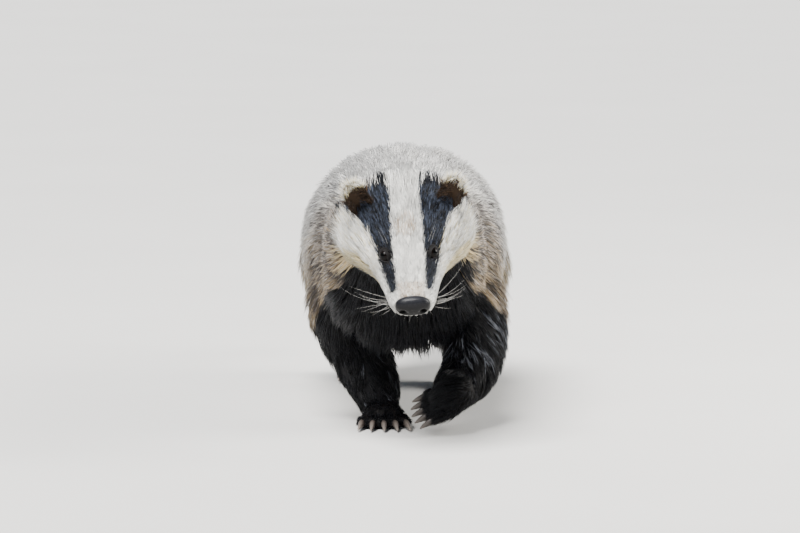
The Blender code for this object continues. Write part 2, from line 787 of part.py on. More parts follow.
def grow_lock(tree, others, start, out, lie, size, rng, rise):
    """Points and faces of one lock, lifted or shortened until it is clear of other parts."""
    length = size[0] * rng.uniform(0.86, 1.14)
    width = size[1] * rng.uniform(0.86, 1.12)
    bend = rng.uniform(-0.008, 0.008)
    turn = Matrix.Rotation(rng.uniform(-0.14, 0.14), 3, out)
    reach = rise * rng.uniform(0.72, 1.08)
    for trial in range(LOCK_TRIES):
        path = follow(tree, start, out, lambda p: turn @ lie(p), length * (1 - 0.10 * trial))
        rings = lock_rings(path, width * (1 - 0.06 * trial), LOCK_LIFT * trial, reach, bend)
        if rings is None:
            continue
        points = [p for ring in rings for p in ring]
        faces = lock_faces(rings)
        body = BVHTree.FromPolygons(points, faces)
        if min(p.z for p in points) > LOCK_FLOOR and not any(body.overlap(other) for other in others):
            return points, faces
    return None


def solid_lock(points, faces):
    """A lock as a closed mesh object."""
    mesh = bmesh.new()
    verts = [mesh.verts.new(p) for p in points]
    for face in faces:
        mesh.faces.new([verts[i] for i in face])
    bmesh.ops.recalc_face_normals(mesh, faces=mesh.faces)
    if mesh.calc_volume(signed=True) < 0:
        bmesh.ops.reverse_faces(mesh, faces=mesh.faces)
    data = bpy.data.meshes.new("lock")
    mesh.to_mesh(data)
    mesh.free()
    obj = bpy.data.objects.new("lock", data)
    bpy.context.scene.collection.objects.link(obj)
    return obj


def surface_start(tree, point, out):
    """Where a ray from outside first meets a surface, with its outward direction."""
    hit, normal, _, _ = tree.ray_cast(point + out * LOCK_PROBE, -out, 3 * LOCK_PROBE)
    return hit, normal


def trunk_lie(place):
    """The way the trunk's coat lies: back, and more and more down the flanks."""
    row = at_station(place.y)
    share = min(max((row[1] + row[3] - place.z) / (row[3] + row[4]), 0), 1)
    return Vector((0, 1, -DROOP_TOP - (DROOP_SIDE - DROOP_TOP) * share))


def at_station(y):
    """The trunk's station sizes at a distance along it."""
    keys = np.array(TORSO_STATIONS, float)
    return [float(np.interp(y, keys[:, 0], keys[:, i])) for i in range(5)]


def trunk_places(rng):
    """Root places over the back and flanks, in staggered rows, as point and outward direction."""
    places = []
    front, rear = TORSO_FRONT + TRUNK_ENDS[0], TORSO_STATIONS[-1][0] - TRUNK_ENDS[1]
    for r in range(TRUNK_ROWS):
        y = front + (rear - front) * r / (TRUNK_ROWS - 1)
        row = at_station(y)
        count = max(int(round(TRUNK_LOCKS * min(1, row[2] / 0.10))), 5)
        for k in range(count):
            share = (k + 0.5 * (r % 2) + 0.25 + rng.uniform(-0.12, 0.12)) / count * 2 - 1
            angle = math.pi / 2 - share * TRUNK_SWEEP
            out = Vector((math.cos(angle), 0, math.sin(angle)))
            centre = Vector((0, y + rng.uniform(-0.006, 0.006), row[1]))
            places.append((centre + Vector((out.x * row[2], 0, out.z * row[3])), out))
    return places


def neck_places(rng):
    """Root places round the nape and the ruff."""
    start = on_head((0, HEAD_LENGTH, HEAD_STATIONS[-1][1]))
    end = Vector((0, TORSO_FRONT, TORSO_STATIONS[0][1]))
    axis = (end - start).normalized()
    side = Vector((1, 0, 0))
    up = side.cross(axis).normalized()
    places = []
    for r in range(NECK_ROWS):
        centre = start.lerp(end, NECK_FIRST + (NECK_LAST - NECK_FIRST) * r / max(NECK_ROWS - 1, 1))
        for k in range(NECK_LOCKS):
            share = (k + 0.5 * (r % 2) + 0.25 + rng.uniform(-0.12, 0.12)) / NECK_LOCKS * 2 - 1
            angle = math.pi / 2 - share * NECK_SWEEP
            out = side * math.cos(angle) + up * math.sin(angle)
            places.append((centre + out * 0.08, out))
    return places


def neck_lie(place):
    """The ruff lies back over the shoulders and down at the sides."""
    share = min(abs(place.x) / TORSO_STATIONS[0][2], 1)
    return Vector((0, 1, -0.55 * share))


def tail_places(rng):
    """Root places round the tail."""
    rows = through(TAIL_STATIONS, TAIL_RINGS)
    places = []
    for r in range(TAIL_ROWS):
        at = TAIL_FIRST + (TAIL_LAST - TAIL_FIRST) * r / (TAIL_ROWS - 1)
        row = rows[int(round(at * (TAIL_RINGS - 1)))]
        for k in range(TAIL_LOCKS):
            angle = math.tau * (k + 0.5 * (r % 2) + rng.uniform(-0.1, 0.1)) / TAIL_LOCKS
            out = Vector((math.cos(angle), 0, math.sin(angle)))
            places.append((Vector((0, row[0], row[1])) + out * 0.02, out))
    return places


def tail_lie(place):
    """The tail's coat lies towards its tip."""
    rows = TAIL_STATIONS
    i = 0
    while i < len(rows) - 2 and rows[i + 1][0] < place.y:
        i += 1
    return Vector((0, rows[i + 1][0] - rows[i][0], rows[i + 1][1] - rows[i][1])).normalized()


def faults(data):
    """Places where a mesh touches itself or has a triangle too thin to keep."""
    mesh = bmesh.new()
    mesh.from_mesh(data)
    places = []
    for edge in mesh.edges:
        if len(edge.link_faces) != 2 or edge.calc_length() < THIN:
            places.append((edge.verts[0].co + edge.verts[1].co) / 2)
    for face in mesh.faces:
        longest = max(edge.calc_length() for edge in face.edges)
        if 2 * face.calc_area() < longest * THIN:
            places.append(face.calc_center_median())
    mesh.free()
    return places


def dress(core, places, lie, size, tree, others, rng):
    """Roots locks on a core where no other part covers it, and joins them to it.

    Where the joined surface touches itself, the nearest lock is grown again.
    """
    own = tree_of([core])
    bare = core.data.copy()
    roots = []
    for point, out in places(rng):
        root, _ = surface_start(own, point, out)
        top, normal = surface_start(tree, point, out)
        if root is not None and (top - root).length < CLEARANCE:
            roots.append((root, normal))
    grow = [(tree, others, root, normal, lie, size, rng, COAT_DEPTH) for root, normal in roots]
    locks = {i: lock for i, lock in enumerate(grow_lock(*item) for item in grow) if lock}
    for _ in range(DRESS_TRIES):
        core.data = bare.copy()
        combine(core, [solid_lock(*lock) for lock in locks.values()], "UNION", "MANIFOLD")
        wrong = faults(core.data)
        if not wrong:
            return
        trees = {i: BVHTree.FromPolygons(*lock) for i, lock in locks.items()}
        near = {min(trees, key=lambda i: trees[i].find_nearest(place)[3]) for place in wrong}
        for i in sorted(near):
            lock = grow_lock(*grow[i])
            if lock:
                locks[i] = lock


def stand_at_origin():
    """Moves the whole animal so that the middle of its footprint is the origin."""
    points = [p for obj in bpy.data.objects for p in (v.co for v in obj.data.vertices)]
    low = [min(p[i] for p in points) for i in range(3)]
    high = [max(p[i] for p in points) for i in range(3)]
    middle = Vector(((low[0] + high[0]) / 2, (low[1] + high[1]) / 2, low[2]))
    for obj in bpy.data.objects:
        obj.data.transform(Matrix.Translation(-middle))


def main():
    """Builds every part, each as its own closed solid."""
    for obj in list(bpy.data.objects):
        bpy.data.objects.remove(obj)

    torso = make_torso()
    neck = make_neck()
    tail = make_tail()

    head = make_head()
    ears = [make_ear(hand, name) for hand, name in ((1, "ear_L"), (-1, "ear_R"))]
    for ear in ears:
        combine(ear, [grown(head, GAP * 1.6)], "DIFFERENCE")
    combine(head, [make_lid(hand) for hand in (1, -1)], "UNION")
    cutters = [make_eye(hand, "socket", GAP, 14, 8) for hand in (1, -1)]
    cutters += [make_pad("pad_seat", GAP * 1.6)]
    cutters += [make_mouth(hand) for hand in (1, -1)]
    combine(head, cutters, "DIFFERENCE")
    for hand, name in ((1, "eye_L"), (-1, "eye_R")):
        make_eye(hand, name)
    pad = make_pad("nose")
    combine(pad, [make_nostril(hand) for hand in (1, -1)], "DIFFERENCE")

    legs = []
    for leg in LEGS:
        legs.append(make_leg(leg, (torso, neck)))
        for i in range(TOE_COUNT):
            make_claw(leg, i)

    rng = random.Random(SEED)
    bodies = [torso, neck, tail, head] + legs
    whole = tree_of(bodies)
    coats = (
        (torso, trunk_places, trunk_lie, TRUNK_LOCK),
        (neck, neck_places, neck_lie, NECK_LOCK),
        (tail, tail_places, tail_lie, TAIL_LOCK),
    )
    for core, places, lie, size in coats:
        others = [tree_of([body], CLEARANCE) for body in bodies + ears if body is not core]
        dress(core, places, lie, size, whole, others, rng)
    stand_at_origin()


main()
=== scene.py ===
# %% [markdown]
# # A European badger in Blender
# The animal walks towards us with its head low and one forepaw lifted. Under the
# coat lies one closed skin, and on the skin grow many thousand thin tapered hairs,
# gathered in tufts. We load the imported solids first, because their places decide
# where everything else goes. At the end we measure the finished animal's outer box.

import math

import bmesh
import bpy
import numpy as np
from mathutils import Matrix, Vector
from mathutils.bvhtree import BVHTree
from mathutils.kdtree import KDTree


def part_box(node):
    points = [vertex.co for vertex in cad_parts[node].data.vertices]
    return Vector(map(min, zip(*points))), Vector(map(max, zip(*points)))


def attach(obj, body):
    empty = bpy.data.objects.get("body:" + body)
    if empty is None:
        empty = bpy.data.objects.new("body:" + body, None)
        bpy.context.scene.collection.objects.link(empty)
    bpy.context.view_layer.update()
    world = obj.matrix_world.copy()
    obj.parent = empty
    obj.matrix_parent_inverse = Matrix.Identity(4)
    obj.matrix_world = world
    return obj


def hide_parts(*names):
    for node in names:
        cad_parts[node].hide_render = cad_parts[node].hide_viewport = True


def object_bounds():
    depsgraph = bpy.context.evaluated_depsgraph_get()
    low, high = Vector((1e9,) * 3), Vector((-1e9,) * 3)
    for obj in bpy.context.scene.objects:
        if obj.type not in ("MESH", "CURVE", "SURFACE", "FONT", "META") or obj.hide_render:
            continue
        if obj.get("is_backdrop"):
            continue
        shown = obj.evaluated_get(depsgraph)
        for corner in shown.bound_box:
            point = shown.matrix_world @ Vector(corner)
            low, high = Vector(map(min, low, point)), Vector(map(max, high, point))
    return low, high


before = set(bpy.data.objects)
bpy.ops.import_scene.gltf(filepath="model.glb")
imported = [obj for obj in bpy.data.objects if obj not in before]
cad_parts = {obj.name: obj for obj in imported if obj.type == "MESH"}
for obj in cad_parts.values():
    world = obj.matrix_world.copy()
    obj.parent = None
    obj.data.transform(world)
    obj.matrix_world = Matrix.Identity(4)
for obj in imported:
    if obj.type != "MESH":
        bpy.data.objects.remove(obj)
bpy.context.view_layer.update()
rng = np.random.default_rng(11)

# %% [markdown]
# ## The badger's measurements
# A body like this is best described by stations, as a boat builder does: at each
# station we note where the middle lies and how far the body reaches to the sides,
# up and down. The animal faces -Y, its left side is +X, and all is in metres.
# These are the outlines of the coat's tips, so the skin lies some way inside.

# %% Stations of the head, trunk and tail
NOSE_TIP = np.array([0.009, -0.412, 0.1450])
HEAD_TURN = (
    Matrix.Rotation(math.radians(4.2), 3, "Z")
    @ Matrix.Rotation(math.radians(36), 3, "X")
    @ Matrix.Rotation(math.radians(-4.5), 3, "Y")
)
HEAD_AXES = np.array(HEAD_TURN)
HEAD_LENGTH = 0.140
# distance behind the nose tip, height of the middle, half width, height above, depth below
HEAD = np.array([
    (0.003, -0.003, 0.0130, 0.0080, 0.007),
    (0.006, -0.003, 0.0180, 0.0110, 0.011),
    (0.012, -0.003, 0.0225, 0.0135, 0.014),
    (0.022, -0.002, 0.0255, 0.0155, 0.016),
    (0.035, 0.000, 0.0290, 0.0180, 0.019),
    (0.050, 0.001, 0.0340, 0.0220, 0.021),
    (0.062, 0.001, 0.0410, 0.0270, 0.024),
    (0.078, -0.002, 0.0520, 0.0350, 0.029),
    (0.095, -0.007, 0.0630, 0.0440, 0.034),
    (0.112, -0.012, 0.0700, 0.0520, 0.039),
    (0.128, -0.016, 0.0720, 0.0580, 0.043),
    (HEAD_LENGTH, -0.018, 0.0715, 0.0610, 0.045),
])
# y, height of the middle, half width, height above, depth below
TRUNK = np.array([
    (-0.195, 0.170, 0.084, 0.090, 0.087),
    (-0.150, 0.164, 0.096, 0.095, 0.084),
    (-0.070, 0.160, 0.104, 0.101, 0.076),
    (0.030, 0.159, 0.108, 0.104, 0.068),
    (0.120, 0.160, 0.110, 0.103, 0.066),
    (0.200, 0.162, 0.104, 0.096, 0.065),
    (0.255, 0.165, 0.084, 0.081, 0.057),
    (0.288, 0.170, 0.058, 0.058, 0.042),
    (0.308, 0.176, 0.034, 0.032, 0.026),
])
TAIL = np.array([
    (0.3083, 0.176, 0.036, 0.032, 0.026),
    (0.340, 0.171, 0.036, 0.031, 0.027),
    (0.380, 0.156, 0.036, 0.030, 0.028),
    (0.415, 0.136, 0.030, 0.025, 0.024),
    (0.440, 0.118, 0.017, 0.015, 0.015),
    (0.456, 0.104, 0.003, 0.003, 0.003),
])
HEAD_SQUARENESS = 2.2
BACK_SQUARENESS = 2.1
BELLY_SQUARENESS = 2.7
TRUNK_COAT = 0.0115
BELLY_COAT = 0.0045
TAIL_CORE = 0.58
print("stations:", len(HEAD), "of the head,", len(TRUNK), "of the trunk,", len(TAIL), "of the tail")

# %% [markdown]
# ## Legs and paws in numbers
# A badger's legs are short and strong, with broad forepaws for digging. Each limb
# is a line of points with a width and a depth, and each foot a sole, a direction
# and a few sizes. Three paws stand on the floor. The left forepaw is lifted and
# swings inwards, so it has directions of its own.

# %% Legs and paws
# points down each limb with half width and half depth
LEGS = {
    "foreleg_R": np.array([
        (-0.044, -0.142, 0.185, 0.028, 0.042),
        (-0.056, -0.134, 0.148, 0.032, 0.045),
        (-0.062, -0.127, 0.112, 0.036, 0.041),
        (-0.052, -0.130, 0.083, 0.034, 0.035),
        (-0.039, -0.144, 0.056, 0.031, 0.029),
        (-0.028, -0.160, 0.030, 0.026, 0.024),
        (-0.023, -0.170, 0.012, 0.020, 0.018),
    ]),
    "foreleg_L": np.array([
        (0.044, -0.142, 0.185, 0.028, 0.042),
        (0.058, -0.144, 0.150, 0.032, 0.045),
        (0.068, -0.152, 0.118, 0.036, 0.043),
        (0.072, -0.166, 0.090, 0.034, 0.038),
        (0.068, -0.195, 0.060, 0.030, 0.030),
        (0.055, -0.222, 0.045, 0.026, 0.023),
        (0.050, -0.238, 0.037, 0.020, 0.018),
    ]),
    "hindleg_L": np.array([
        (0.050, 0.175, 0.165, 0.044, 0.068),
        (0.069, 0.152, 0.122, 0.041, 0.059),
        (0.072, 0.146, 0.090, 0.033, 0.044),
        (0.067, 0.158, 0.058, 0.024, 0.029),
        (0.061, 0.167, 0.032, 0.021, 0.024),
        (0.058, 0.163, 0.014, 0.017, 0.018),
    ]),
    "hindleg_R": np.array([
        (-0.050, 0.190, 0.165, 0.044, 0.068),
        (-0.067, 0.188, 0.122, 0.041, 0.059),
        (-0.066, 0.198, 0.090, 0.033, 0.044),
        (-0.057, 0.226, 0.058, 0.024, 0.029),
        (-0.050, 0.243, 0.033, 0.021, 0.024),
        (-0.047, 0.242, 0.014, 0.017, 0.018),
    ]),
}
# middle of the sole, way the toes point, way up, kind of foot
PAWS = {
    "foreleg_R": ((-0.021, -0.180, 0.0), (0.02, -1.0, 0.0), (0.0, 0.0, 1.0), "fore"),
    "foreleg_L": ((0.053, -0.246, 0.030), (-0.86, 0.0, -0.30), (-0.28, -0.48, 0.80), "lifted"),
    "hindleg_L": ((0.057, 0.128, 0.0), (0.10, -1.0, 0.0), (0.0, 0.0, 1.0), "hind"),
    "hindleg_R": ((-0.046, 0.205, 0.0), (-0.06, -1.0, 0.0), (0.0, 0.0, 1.0), "hind"),
}
# heel distance, front distance, half width, height, toe reach, toe radius, claw length
FEET = {
    "fore": (0.022, 0.020, 0.0250, 0.026, 0.036, 0.0068, 0.025),
    "lifted": (0.022, 0.020, 0.0240, 0.026, 0.033, 0.0066, 0.014),
    "hind": (0.050, 0.018, 0.0215, 0.025, 0.033, 0.0062, 0.014),
}
# the lifted forearm's hair is swept to its outer and lower side
SWEEP = {"foreleg_L": np.array([0.95, 0.35, -0.75])}
SWEEP_FROM, SWEEP_TO = 0.036, 0.135
TOES = 5
TOE_SPREAD = math.radians(9)
LEG_COAT = 0.0030
PAW_COAT = 0.0012
print("limbs:", {leg: len(stations) for leg, stations in LEGS.items()})

# %% [markdown]
# ## The head's own axes
# Eyes, ears and nose pad are easiest to place on a head that looks straight ahead.
# We give them in the head's side, back and up, and turn them with the head. The
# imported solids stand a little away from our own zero, so the left eye's box tells
# us how far we have to move everything at the end.

# %% Eyes, ears and nose pad, in the head's own side, back and up
EYE_CENTRE = np.array([0.0224, 0.0610, 0.0185])
EYE_RADIUS = 0.0068
EYE_LOOK = np.array([0.62, -0.55, 0.56])
PAD_CENTRE = np.array([0.0, 0.0075, -0.0010])
PAD_HALF = np.array([0.0175, 0.0080, 0.0105])
EAR_BASE = np.array([0.0385, 0.118, 0.0255])
EAR_HEIGHT = 0.0350
EAR_HALF_WIDTH = 0.0125


def on_head(points):
    """Places given in the head's side, back and up, in the body's axes."""
    return NOSE_TIP + np.atleast_2d(points) @ HEAD_AXES.T


def to_head(points):
    """The other way round: side, back and up of places in the body's axes."""
    return (np.atleast_2d(points) - NOSE_TIP) @ HEAD_AXES


def mirrored(point, hand):
    """A point of the head on the animal's left (hand 1) or right (hand -1)."""
    return np.array([point[0] * hand, point[1], point[2]])


eye_low, eye_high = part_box("eye_L")
eye_middle = (np.array(eye_low) + np.array(eye_high)) / 2
SHIFT = eye_middle - on_head(mirrored(EYE_CENTRE, 1))[0]
print("the packed animal stands", SHIFT.round(5), "from the stations' own zero")

# %% [markdown]
# ## Camera
# The photograph was taken from low down and far away with a long lens, which is
# why the head isn't larger than the body. A long lens six metres off, six degrees
# above level, gives the same view. A short lens close by would swell the nose.

# %% Camera
VIEW_TARGET = np.array([-0.004, -0.300, 0.1760]) + SHIFT
VIEW_DISTANCE = 6.0
VIEW_ELEVATION = math.radians(6)
LENS_MM = 270
SENSOR_MM = 36
SEES_AS_FAR_AS = 50

camera_data = bpy.data.cameras.new("camera")
camera_data.lens = LENS_MM
camera_data.sensor_width = SENSOR_MM
camera_data.clip_end = SEES_AS_FAR_AS
camera = bpy.data.objects.new("camera", camera_data)
bpy.context.scene.collection.objects.link(camera)
towards = Vector((0, -math.cos(VIEW_ELEVATION), math.sin(VIEW_ELEVATION)))
camera.location = Vector(VIEW_TARGET) + towards * VIEW_DISTANCE
camera.rotation_euler = towards.to_track_quat("Z", "Y").to_euler()
bpy.context.scene.camera = camera
print("camera at", tuple(round(v, 3) for v in camera.location))

# %% [markdown]
# ## Helpers for materials
# Every finish here is made of nodes: a shader, a few noises, a ramp and a mix. The
# helpers make each of these in one line, so that a finish reads like a recipe. The
# textures read the piece's own metres, so a grain keeps its real size.


# %% Helpers for materials
def new_material(name, roughness, specular=0.5):
    """A material whose uniform values sit on the shader's own sockets."""
    made = bpy.data.materials.new(name)
    made.use_nodes = True
    shader = made.node_tree.nodes["Principled BSDF"]
    shader.inputs["Roughness"].default_value = roughness
    shader.inputs["Specular IOR Level"].default_value = specular
    return made, made.node_tree, shader


def add_node(tree, kind, **values):
    """A node of a kind with values set by name; textures read the piece's own metres."""
    node = tree.nodes.new(kind)
    for key, value in values.items():
        if key in node.inputs.keys():
            node.inputs[key].default_value = value
        else:
            setattr(node, key, value)
    if "Vector" in node.inputs.keys():
        place = tree.nodes.new("ShaderNodeTexCoord")
        tree.links.new(place.outputs["Object"], node.inputs["Vector"])
    return node


def mix_colours(tree, factor, first, second, blend="MIX"):
    """Mixes two colours by a factor; each may be a socket or a plain value."""
    mix = tree.nodes.new("ShaderNodeMix")
    mix.data_type = "RGBA"
    mix.blend_type = blend
    inputs = (mix.inputs[0], mix.inputs[6], mix.inputs[7])
    for socket, value in zip(inputs, (factor, first, second)):
        if isinstance(value, bpy.types.NodeSocket):
            tree.links.new(value, socket)
        elif isinstance(value, (int, float)):
            socket.default_value = value
        else:
            socket.default_value = (*value, 1)
    return mix.outputs[2]


def ramp(tree, source, stops):
    """A grey ramp over a value: pairs of place and brightness."""
    node = tree.nodes.new("ShaderNodeValToRGB")
    while len(node.color_ramp.elements) < len(stops):
        node.color_ramp.elements.new(0.5)
    for element, (place, value) in zip(node.color_ramp.elements, stops):
        element.position = place
        element.color = (value, value, value, 1)
    tree.links.new(source, node.inputs["Fac"])
    return node.outputs["Color"]


def colour_by_tone(tree, shader, tone):
    """Links the stored colour, darkened by a tone, to the shader's base colour."""
    own = add_node(tree, "ShaderNodeAttribute", attribute_name="pelt")
    base = mix_colours(tree, 1.0, own.outputs["Color"], tone, "MULTIPLY")
    tree.links.new(base, shader.inputs["Base Color"])


def add_bump(tree, shader, height, strength, distance):
    """Fine relief on a shader from a height socket."""
    bump = tree.nodes.new("ShaderNodeBump")
    bump.inputs["Strength"].default_value = strength
    bump.inputs["Distance"].default_value = distance
    tree.links.new(height, bump.inputs["Height"])
    tree.links.new(bump.outputs["Normal"], shader.inputs["Normal"])


# %% [markdown]
# ## Floor, sky and lamps
# The animal walks in soft daylight. One could light it with lamps alone, but a pale
# sky and a sun with a wide disc light all sides softly, as daylight does. Two
# lamps help: one in front for the face, and a slightly warm one on its left side.

# %% Floor, sky and lamps
FLOOR_HALF = 16.0
SKY_COLOUR, SKY_STRENGTH = (0.78, 0.87, 1.0, 1), 0.40
DAY_COLOUR, DAY_STRENGTH, DAY_WIDTH = (1.0, 0.985, 0.96), 9.0, math.radians(34)
DAY_FROM = Vector((-0.25, -0.35, 1.0))


def make_floor():
    """A wide pale floor at the height of the soles."""
    mesh = bmesh.new()
    bmesh.ops.create_grid(mesh, x_segments=2, y_segments=2, size=FLOOR_HALF)
    data = bpy.data.meshes.new("floor")
    mesh.to_mesh(data)
    mesh.free()
    floor = bpy.data.objects.new("floor", data)
    bpy.context.scene.collection.objects.link(floor)
    made, tree, shader = new_material("floor_paint", 0.9, 0.2)
    speckle = add_node(tree, "ShaderNodeTexNoise", Scale=3.0, Detail=3.0)
    colour = mix_colours(tree, speckle.outputs["Fac"], (0.66, 0.65, 0.63), (0.72, 0.71, 0.69))
    tree.links.new(colour, shader.inputs["Base Color"])
    data.materials.append(made)
    floor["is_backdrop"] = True


def make_lamp(name, place, size, power, colour):
    """A square lamp that faces the animal."""
    data = bpy.data.lights.new(name, "AREA")
    data.size = size
    data.energy = power
    data.color = colour
    lamp = bpy.data.objects.new(name, data)
    lamp.location = place
    way = Vector(place) - Vector(VIEW_TARGET)
    lamp.rotation_euler = way.to_track_quat("Z", "Y").to_euler()
    bpy.context.scene.collection.objects.link(lamp)


make_floor()
make_lamp("front_lamp", (-1.3, -3.0, 2.2), 0.5, 34, (1.0, 0.99, 0.97))
make_lamp("side_lamp", (2.2, 0.1, 1.3), 1.2, 90, (1.0, 0.97, 0.91))
day = bpy.data.lights.new("day", "SUN")
day.energy = DAY_STRENGTH
day.angle = DAY_WIDTH
day.color = DAY_COLOUR
day_lamp = bpy.data.objects.new("day", day)
day_lamp.rotation_euler = DAY_FROM.to_track_quat("Z", "Y").to_euler()
bpy.context.scene.collection.objects.link(day_lamp)
world = bpy.data.worlds.new("sky")
world.use_nodes = True
background = world.node_tree.nodes["Background"]
background.inputs["Color"].default_value = SKY_COLOUR
background.inputs["Strength"].default_value = SKY_STRENGTH
bpy.context.scene.world = world
print("floor, two lamps, soft daylight of", DAY_STRENGTH, "and a pale sky of", SKY_STRENGTH)

# %% [markdown]
# ## The forms under the skin
# A skin without seams is easiest to make from overlapping closed forms that a
# voxel remesh then melts into one. Each form is a tube through its stations. While
# we make the tubes we also note, at each of their points, how far round and how
# far along it lies and which way the coat lies there. The skin looks these up
# later, so that the hair knows where to point.


# %% Smooth curves and rings
def hermite(t):
    """Weights of the start, its slope, the end and its slope, at t from 0 to 1."""
    return 2 * t**3 - 3 * t**2 + 1, t**3 - 2 * t**2 + t, 3 * t**2 - 2 * t**3, t**3 - t**2


def between(rows, count, along=None):
    """Rows read evenly from a smooth curve through the given rows."""
    if along is None:
        steps = np.linalg.norm(np.diff(rows[:, :3], axis=0), axis=1)
        along = np.concatenate([[0], np.cumsum(steps)])
    slopes = np.gradient(rows, along, axis=0)
    places = np.linspace(along[0], along[-1], count)
    i = np.clip(np.searchsorted(along, places, side="right") - 1, 0, len(along) - 2)
    span = (along[i + 1] - along[i])[:, None]
    start, leave, end, arrive = hermite((places - along[i])[:, None] / span)
    return rows[i] * start + rows[i + 1] * end + (slopes[i] * leave + slopes[i + 1] * arrive) * span


def oval(centre, side, up, half_width, above, below, count, square_above, square_below):
    """A ring of points whose upper and lower halves differ in height and squareness."""
    angle = np.linspace(0, 2 * np.pi, count, endpoint=False)
    c, s = np.cos(angle), np.sin(angle)
    power = np.where(s > 0, 2 / square_above, 2 / square_below)
    across = np.sign(c) * np.abs(c) ** power * half_width
    rise = np.sign(s) * np.abs(s) ** power * np.where(s > 0, above, below)
    return centre + across[:, None] * side + rise[:, None] * up


def unit(vectors):
    """Vectors of length one."""
    return vectors / np.maximum(np.linalg.norm(vectors, axis=-1, keepdims=True), 1e-9)


def tube_shape(rings):
    """Points and faces of a closed tube through rings of equal count."""
    rings = np.asarray(rings)
    layers, count = rings.shape[:2]
    points = np.concatenate([rings.reshape(-1, 3), rings[:1].mean(axis=1), rings[-1:].mean(axis=1)])
    last = (layers - 1) * count
    faces = []
    for k in range(count):
        n = (k + 1) % count
        for a in range(0, last, count):
            faces.append((a + k, a + n, a + count + n, a + count + k))
        faces.append((layers * count, n, k))
        faces.append((layers * count + 1, last + k, last + n))
    return points, faces


# %% Closed forms, and what the coat has to know about them
REGIONS = ["head", "neck", "trunk", "tail", "ear_L", "ear_R"]
REGIONS += list(LEGS) + ["paw_" + leg for leg in LEGS]
SIDE, UP = np.array([1.0, 0, 0]), np.array([0, 0, 1.0])
form_points, form_faces = [], []
seed_points, seed_region, seed_place, seed_lie = [], [], [], []


def add_form(points, faces):
    """Keeps a closed form for the remesh."""
    start = sum(len(p) for p in form_points)
    form_points.append(np.asarray(points))
    form_faces.extend([tuple(start + i for i in face) for face in faces])


def add_tube(rings):
    """Keeps a closed tube through rings of equal count."""
    add_form(*tube_shape(rings))


def add_ball(centre, half, axes=np.eye(3), around=20, layers=12):
    """A closed ellipsoid whose axes are the columns of a frame."""
    turn = np.linspace(0, 2 * np.pi, around, endpoint=False)
    rings = []
    for k in range(1, layers):
        tilt = np.pi * k / layers
        level = np.full(around, np.cos(tilt))
        ring = np.stack([np.sin(tilt) * np.cos(turn), np.sin(tilt) * np.sin(turn), level], 1)
        rings.append(centre + (ring * half) @ axes.T)
    add_tube(rings)


def note_lie(region, rings, lie):
    """Keeps, for each point of a tube, its place round and along and the coat's direction."""
    rings = np.asarray(rings)
    layers, count = rings.shape[:2]
    along, around = np.meshgrid(np.linspace(0, 1, layers), np.arange(count) / count, indexing="ij")
    seed_points.append(rings.reshape(-1, 3))
    seed_region.append(np.full(layers * count, REGIONS.index(region)))
    seed_place.append(np.stack([around.ravel(), along.ravel()], axis=1))
    seed_lie.append(np.asarray(lie).reshape(-1, 3))


print("regions of the coat:", len(REGIONS))

# %% [markdown]
# ## Head
# The face hair is less than a millimetre deep on the muzzle and grows to a
# centimetre on the cheeks, so the skin moves inwards by a depth that we read from
# a short table. The hair of the head lies backwards and fans out over the cheeks.
# A tube alone would give a plain cone, so small balls fill out the lips, the
# cheeks behind them and the chin.


# %% Head
HEAD_DEPTH_AT = (0.0, 0.020, 0.050, 0.080, 0.110, 0.140)
SIDE_DEPTH = (0.0006, 0.0009, 0.0018, 0.0045, 0.0080, 0.0100)
TOP_DEPTH = (0.0006, 0.0008, 0.0014, 0.0024, 0.0040, 0.0060)
FAN_AT, FAN = (0.0, 0.06, 0.10, 0.14), (0.05, 0.10, 0.30, 0.25)
HEAD_SEED_RINGS = 60
RING_POINTS = 64
# middle and half sizes of the swellings on each side, and of the chin
LIP_SWELLINGS = (
    ((0.0095, 0.020, -0.0055), (0.0105, 0.0130, 0.0080)),
    ((0.0150, 0.048, -0.0050), (0.0130, 0.0220, 0.0110)),
)
CHIN = ((0, 0.024, -0.0125), (0.0095, 0.0170, 0.0052))

head_rows = between(HEAD, HEAD_SEED_RINGS, HEAD[:, 0])
head_rings, head_lie = [], []
for back, middle, half_width, above, below in head_rows:
    side_depth = np.interp(back, HEAD_DEPTH_AT, SIDE_DEPTH)
    top_depth = np.interp(back, HEAD_DEPTH_AT, TOP_DEPTH)
    ring = oval(
        np.array([0, back, middle]), SIDE, UP,
        half_width - side_depth, above - top_depth, below - side_depth * 0.7,
        RING_POINTS, HEAD_SQUARENESS, HEAD_SQUARENESS,
    )
    out_side = ring[:, 0] / half_width
    drop = np.clip((middle - ring[:, 2]) / below, -0.3, 1)
    fan = np.interp(back, FAN_AT, FAN)
    fall = -0.28 * drop * np.abs(out_side) - 0.05
    lie = np.stack([out_side * fan, np.ones(len(ring)), fall], axis=1)
    head_rings.append(on_head(ring))
    head_lie.append(unit(lie) @ HEAD_AXES.T)
add_tube(head_rings)
note_lie("head", head_rings, head_lie)
for hand in (1, -1):
    for swelling, half in LIP_SWELLINGS:
        add_ball(on_head(mirrored(swelling, hand))[0], half, HEAD_AXES)
add_ball(on_head(CHIN[0])[0], CHIN[1], HEAD_AXES)
print("head: skin up to", round(1000 * SIDE_DEPTH[-1], 1), "mm inside the coat")

# %% [markdown]
# ## Neck
# The neck has to leave the head at the head's tilt and reach the trunk level. A
# straight tube would kink at both ends. A Hermite curve takes both directions, and
# the sections turn evenly from one tilt to the other.

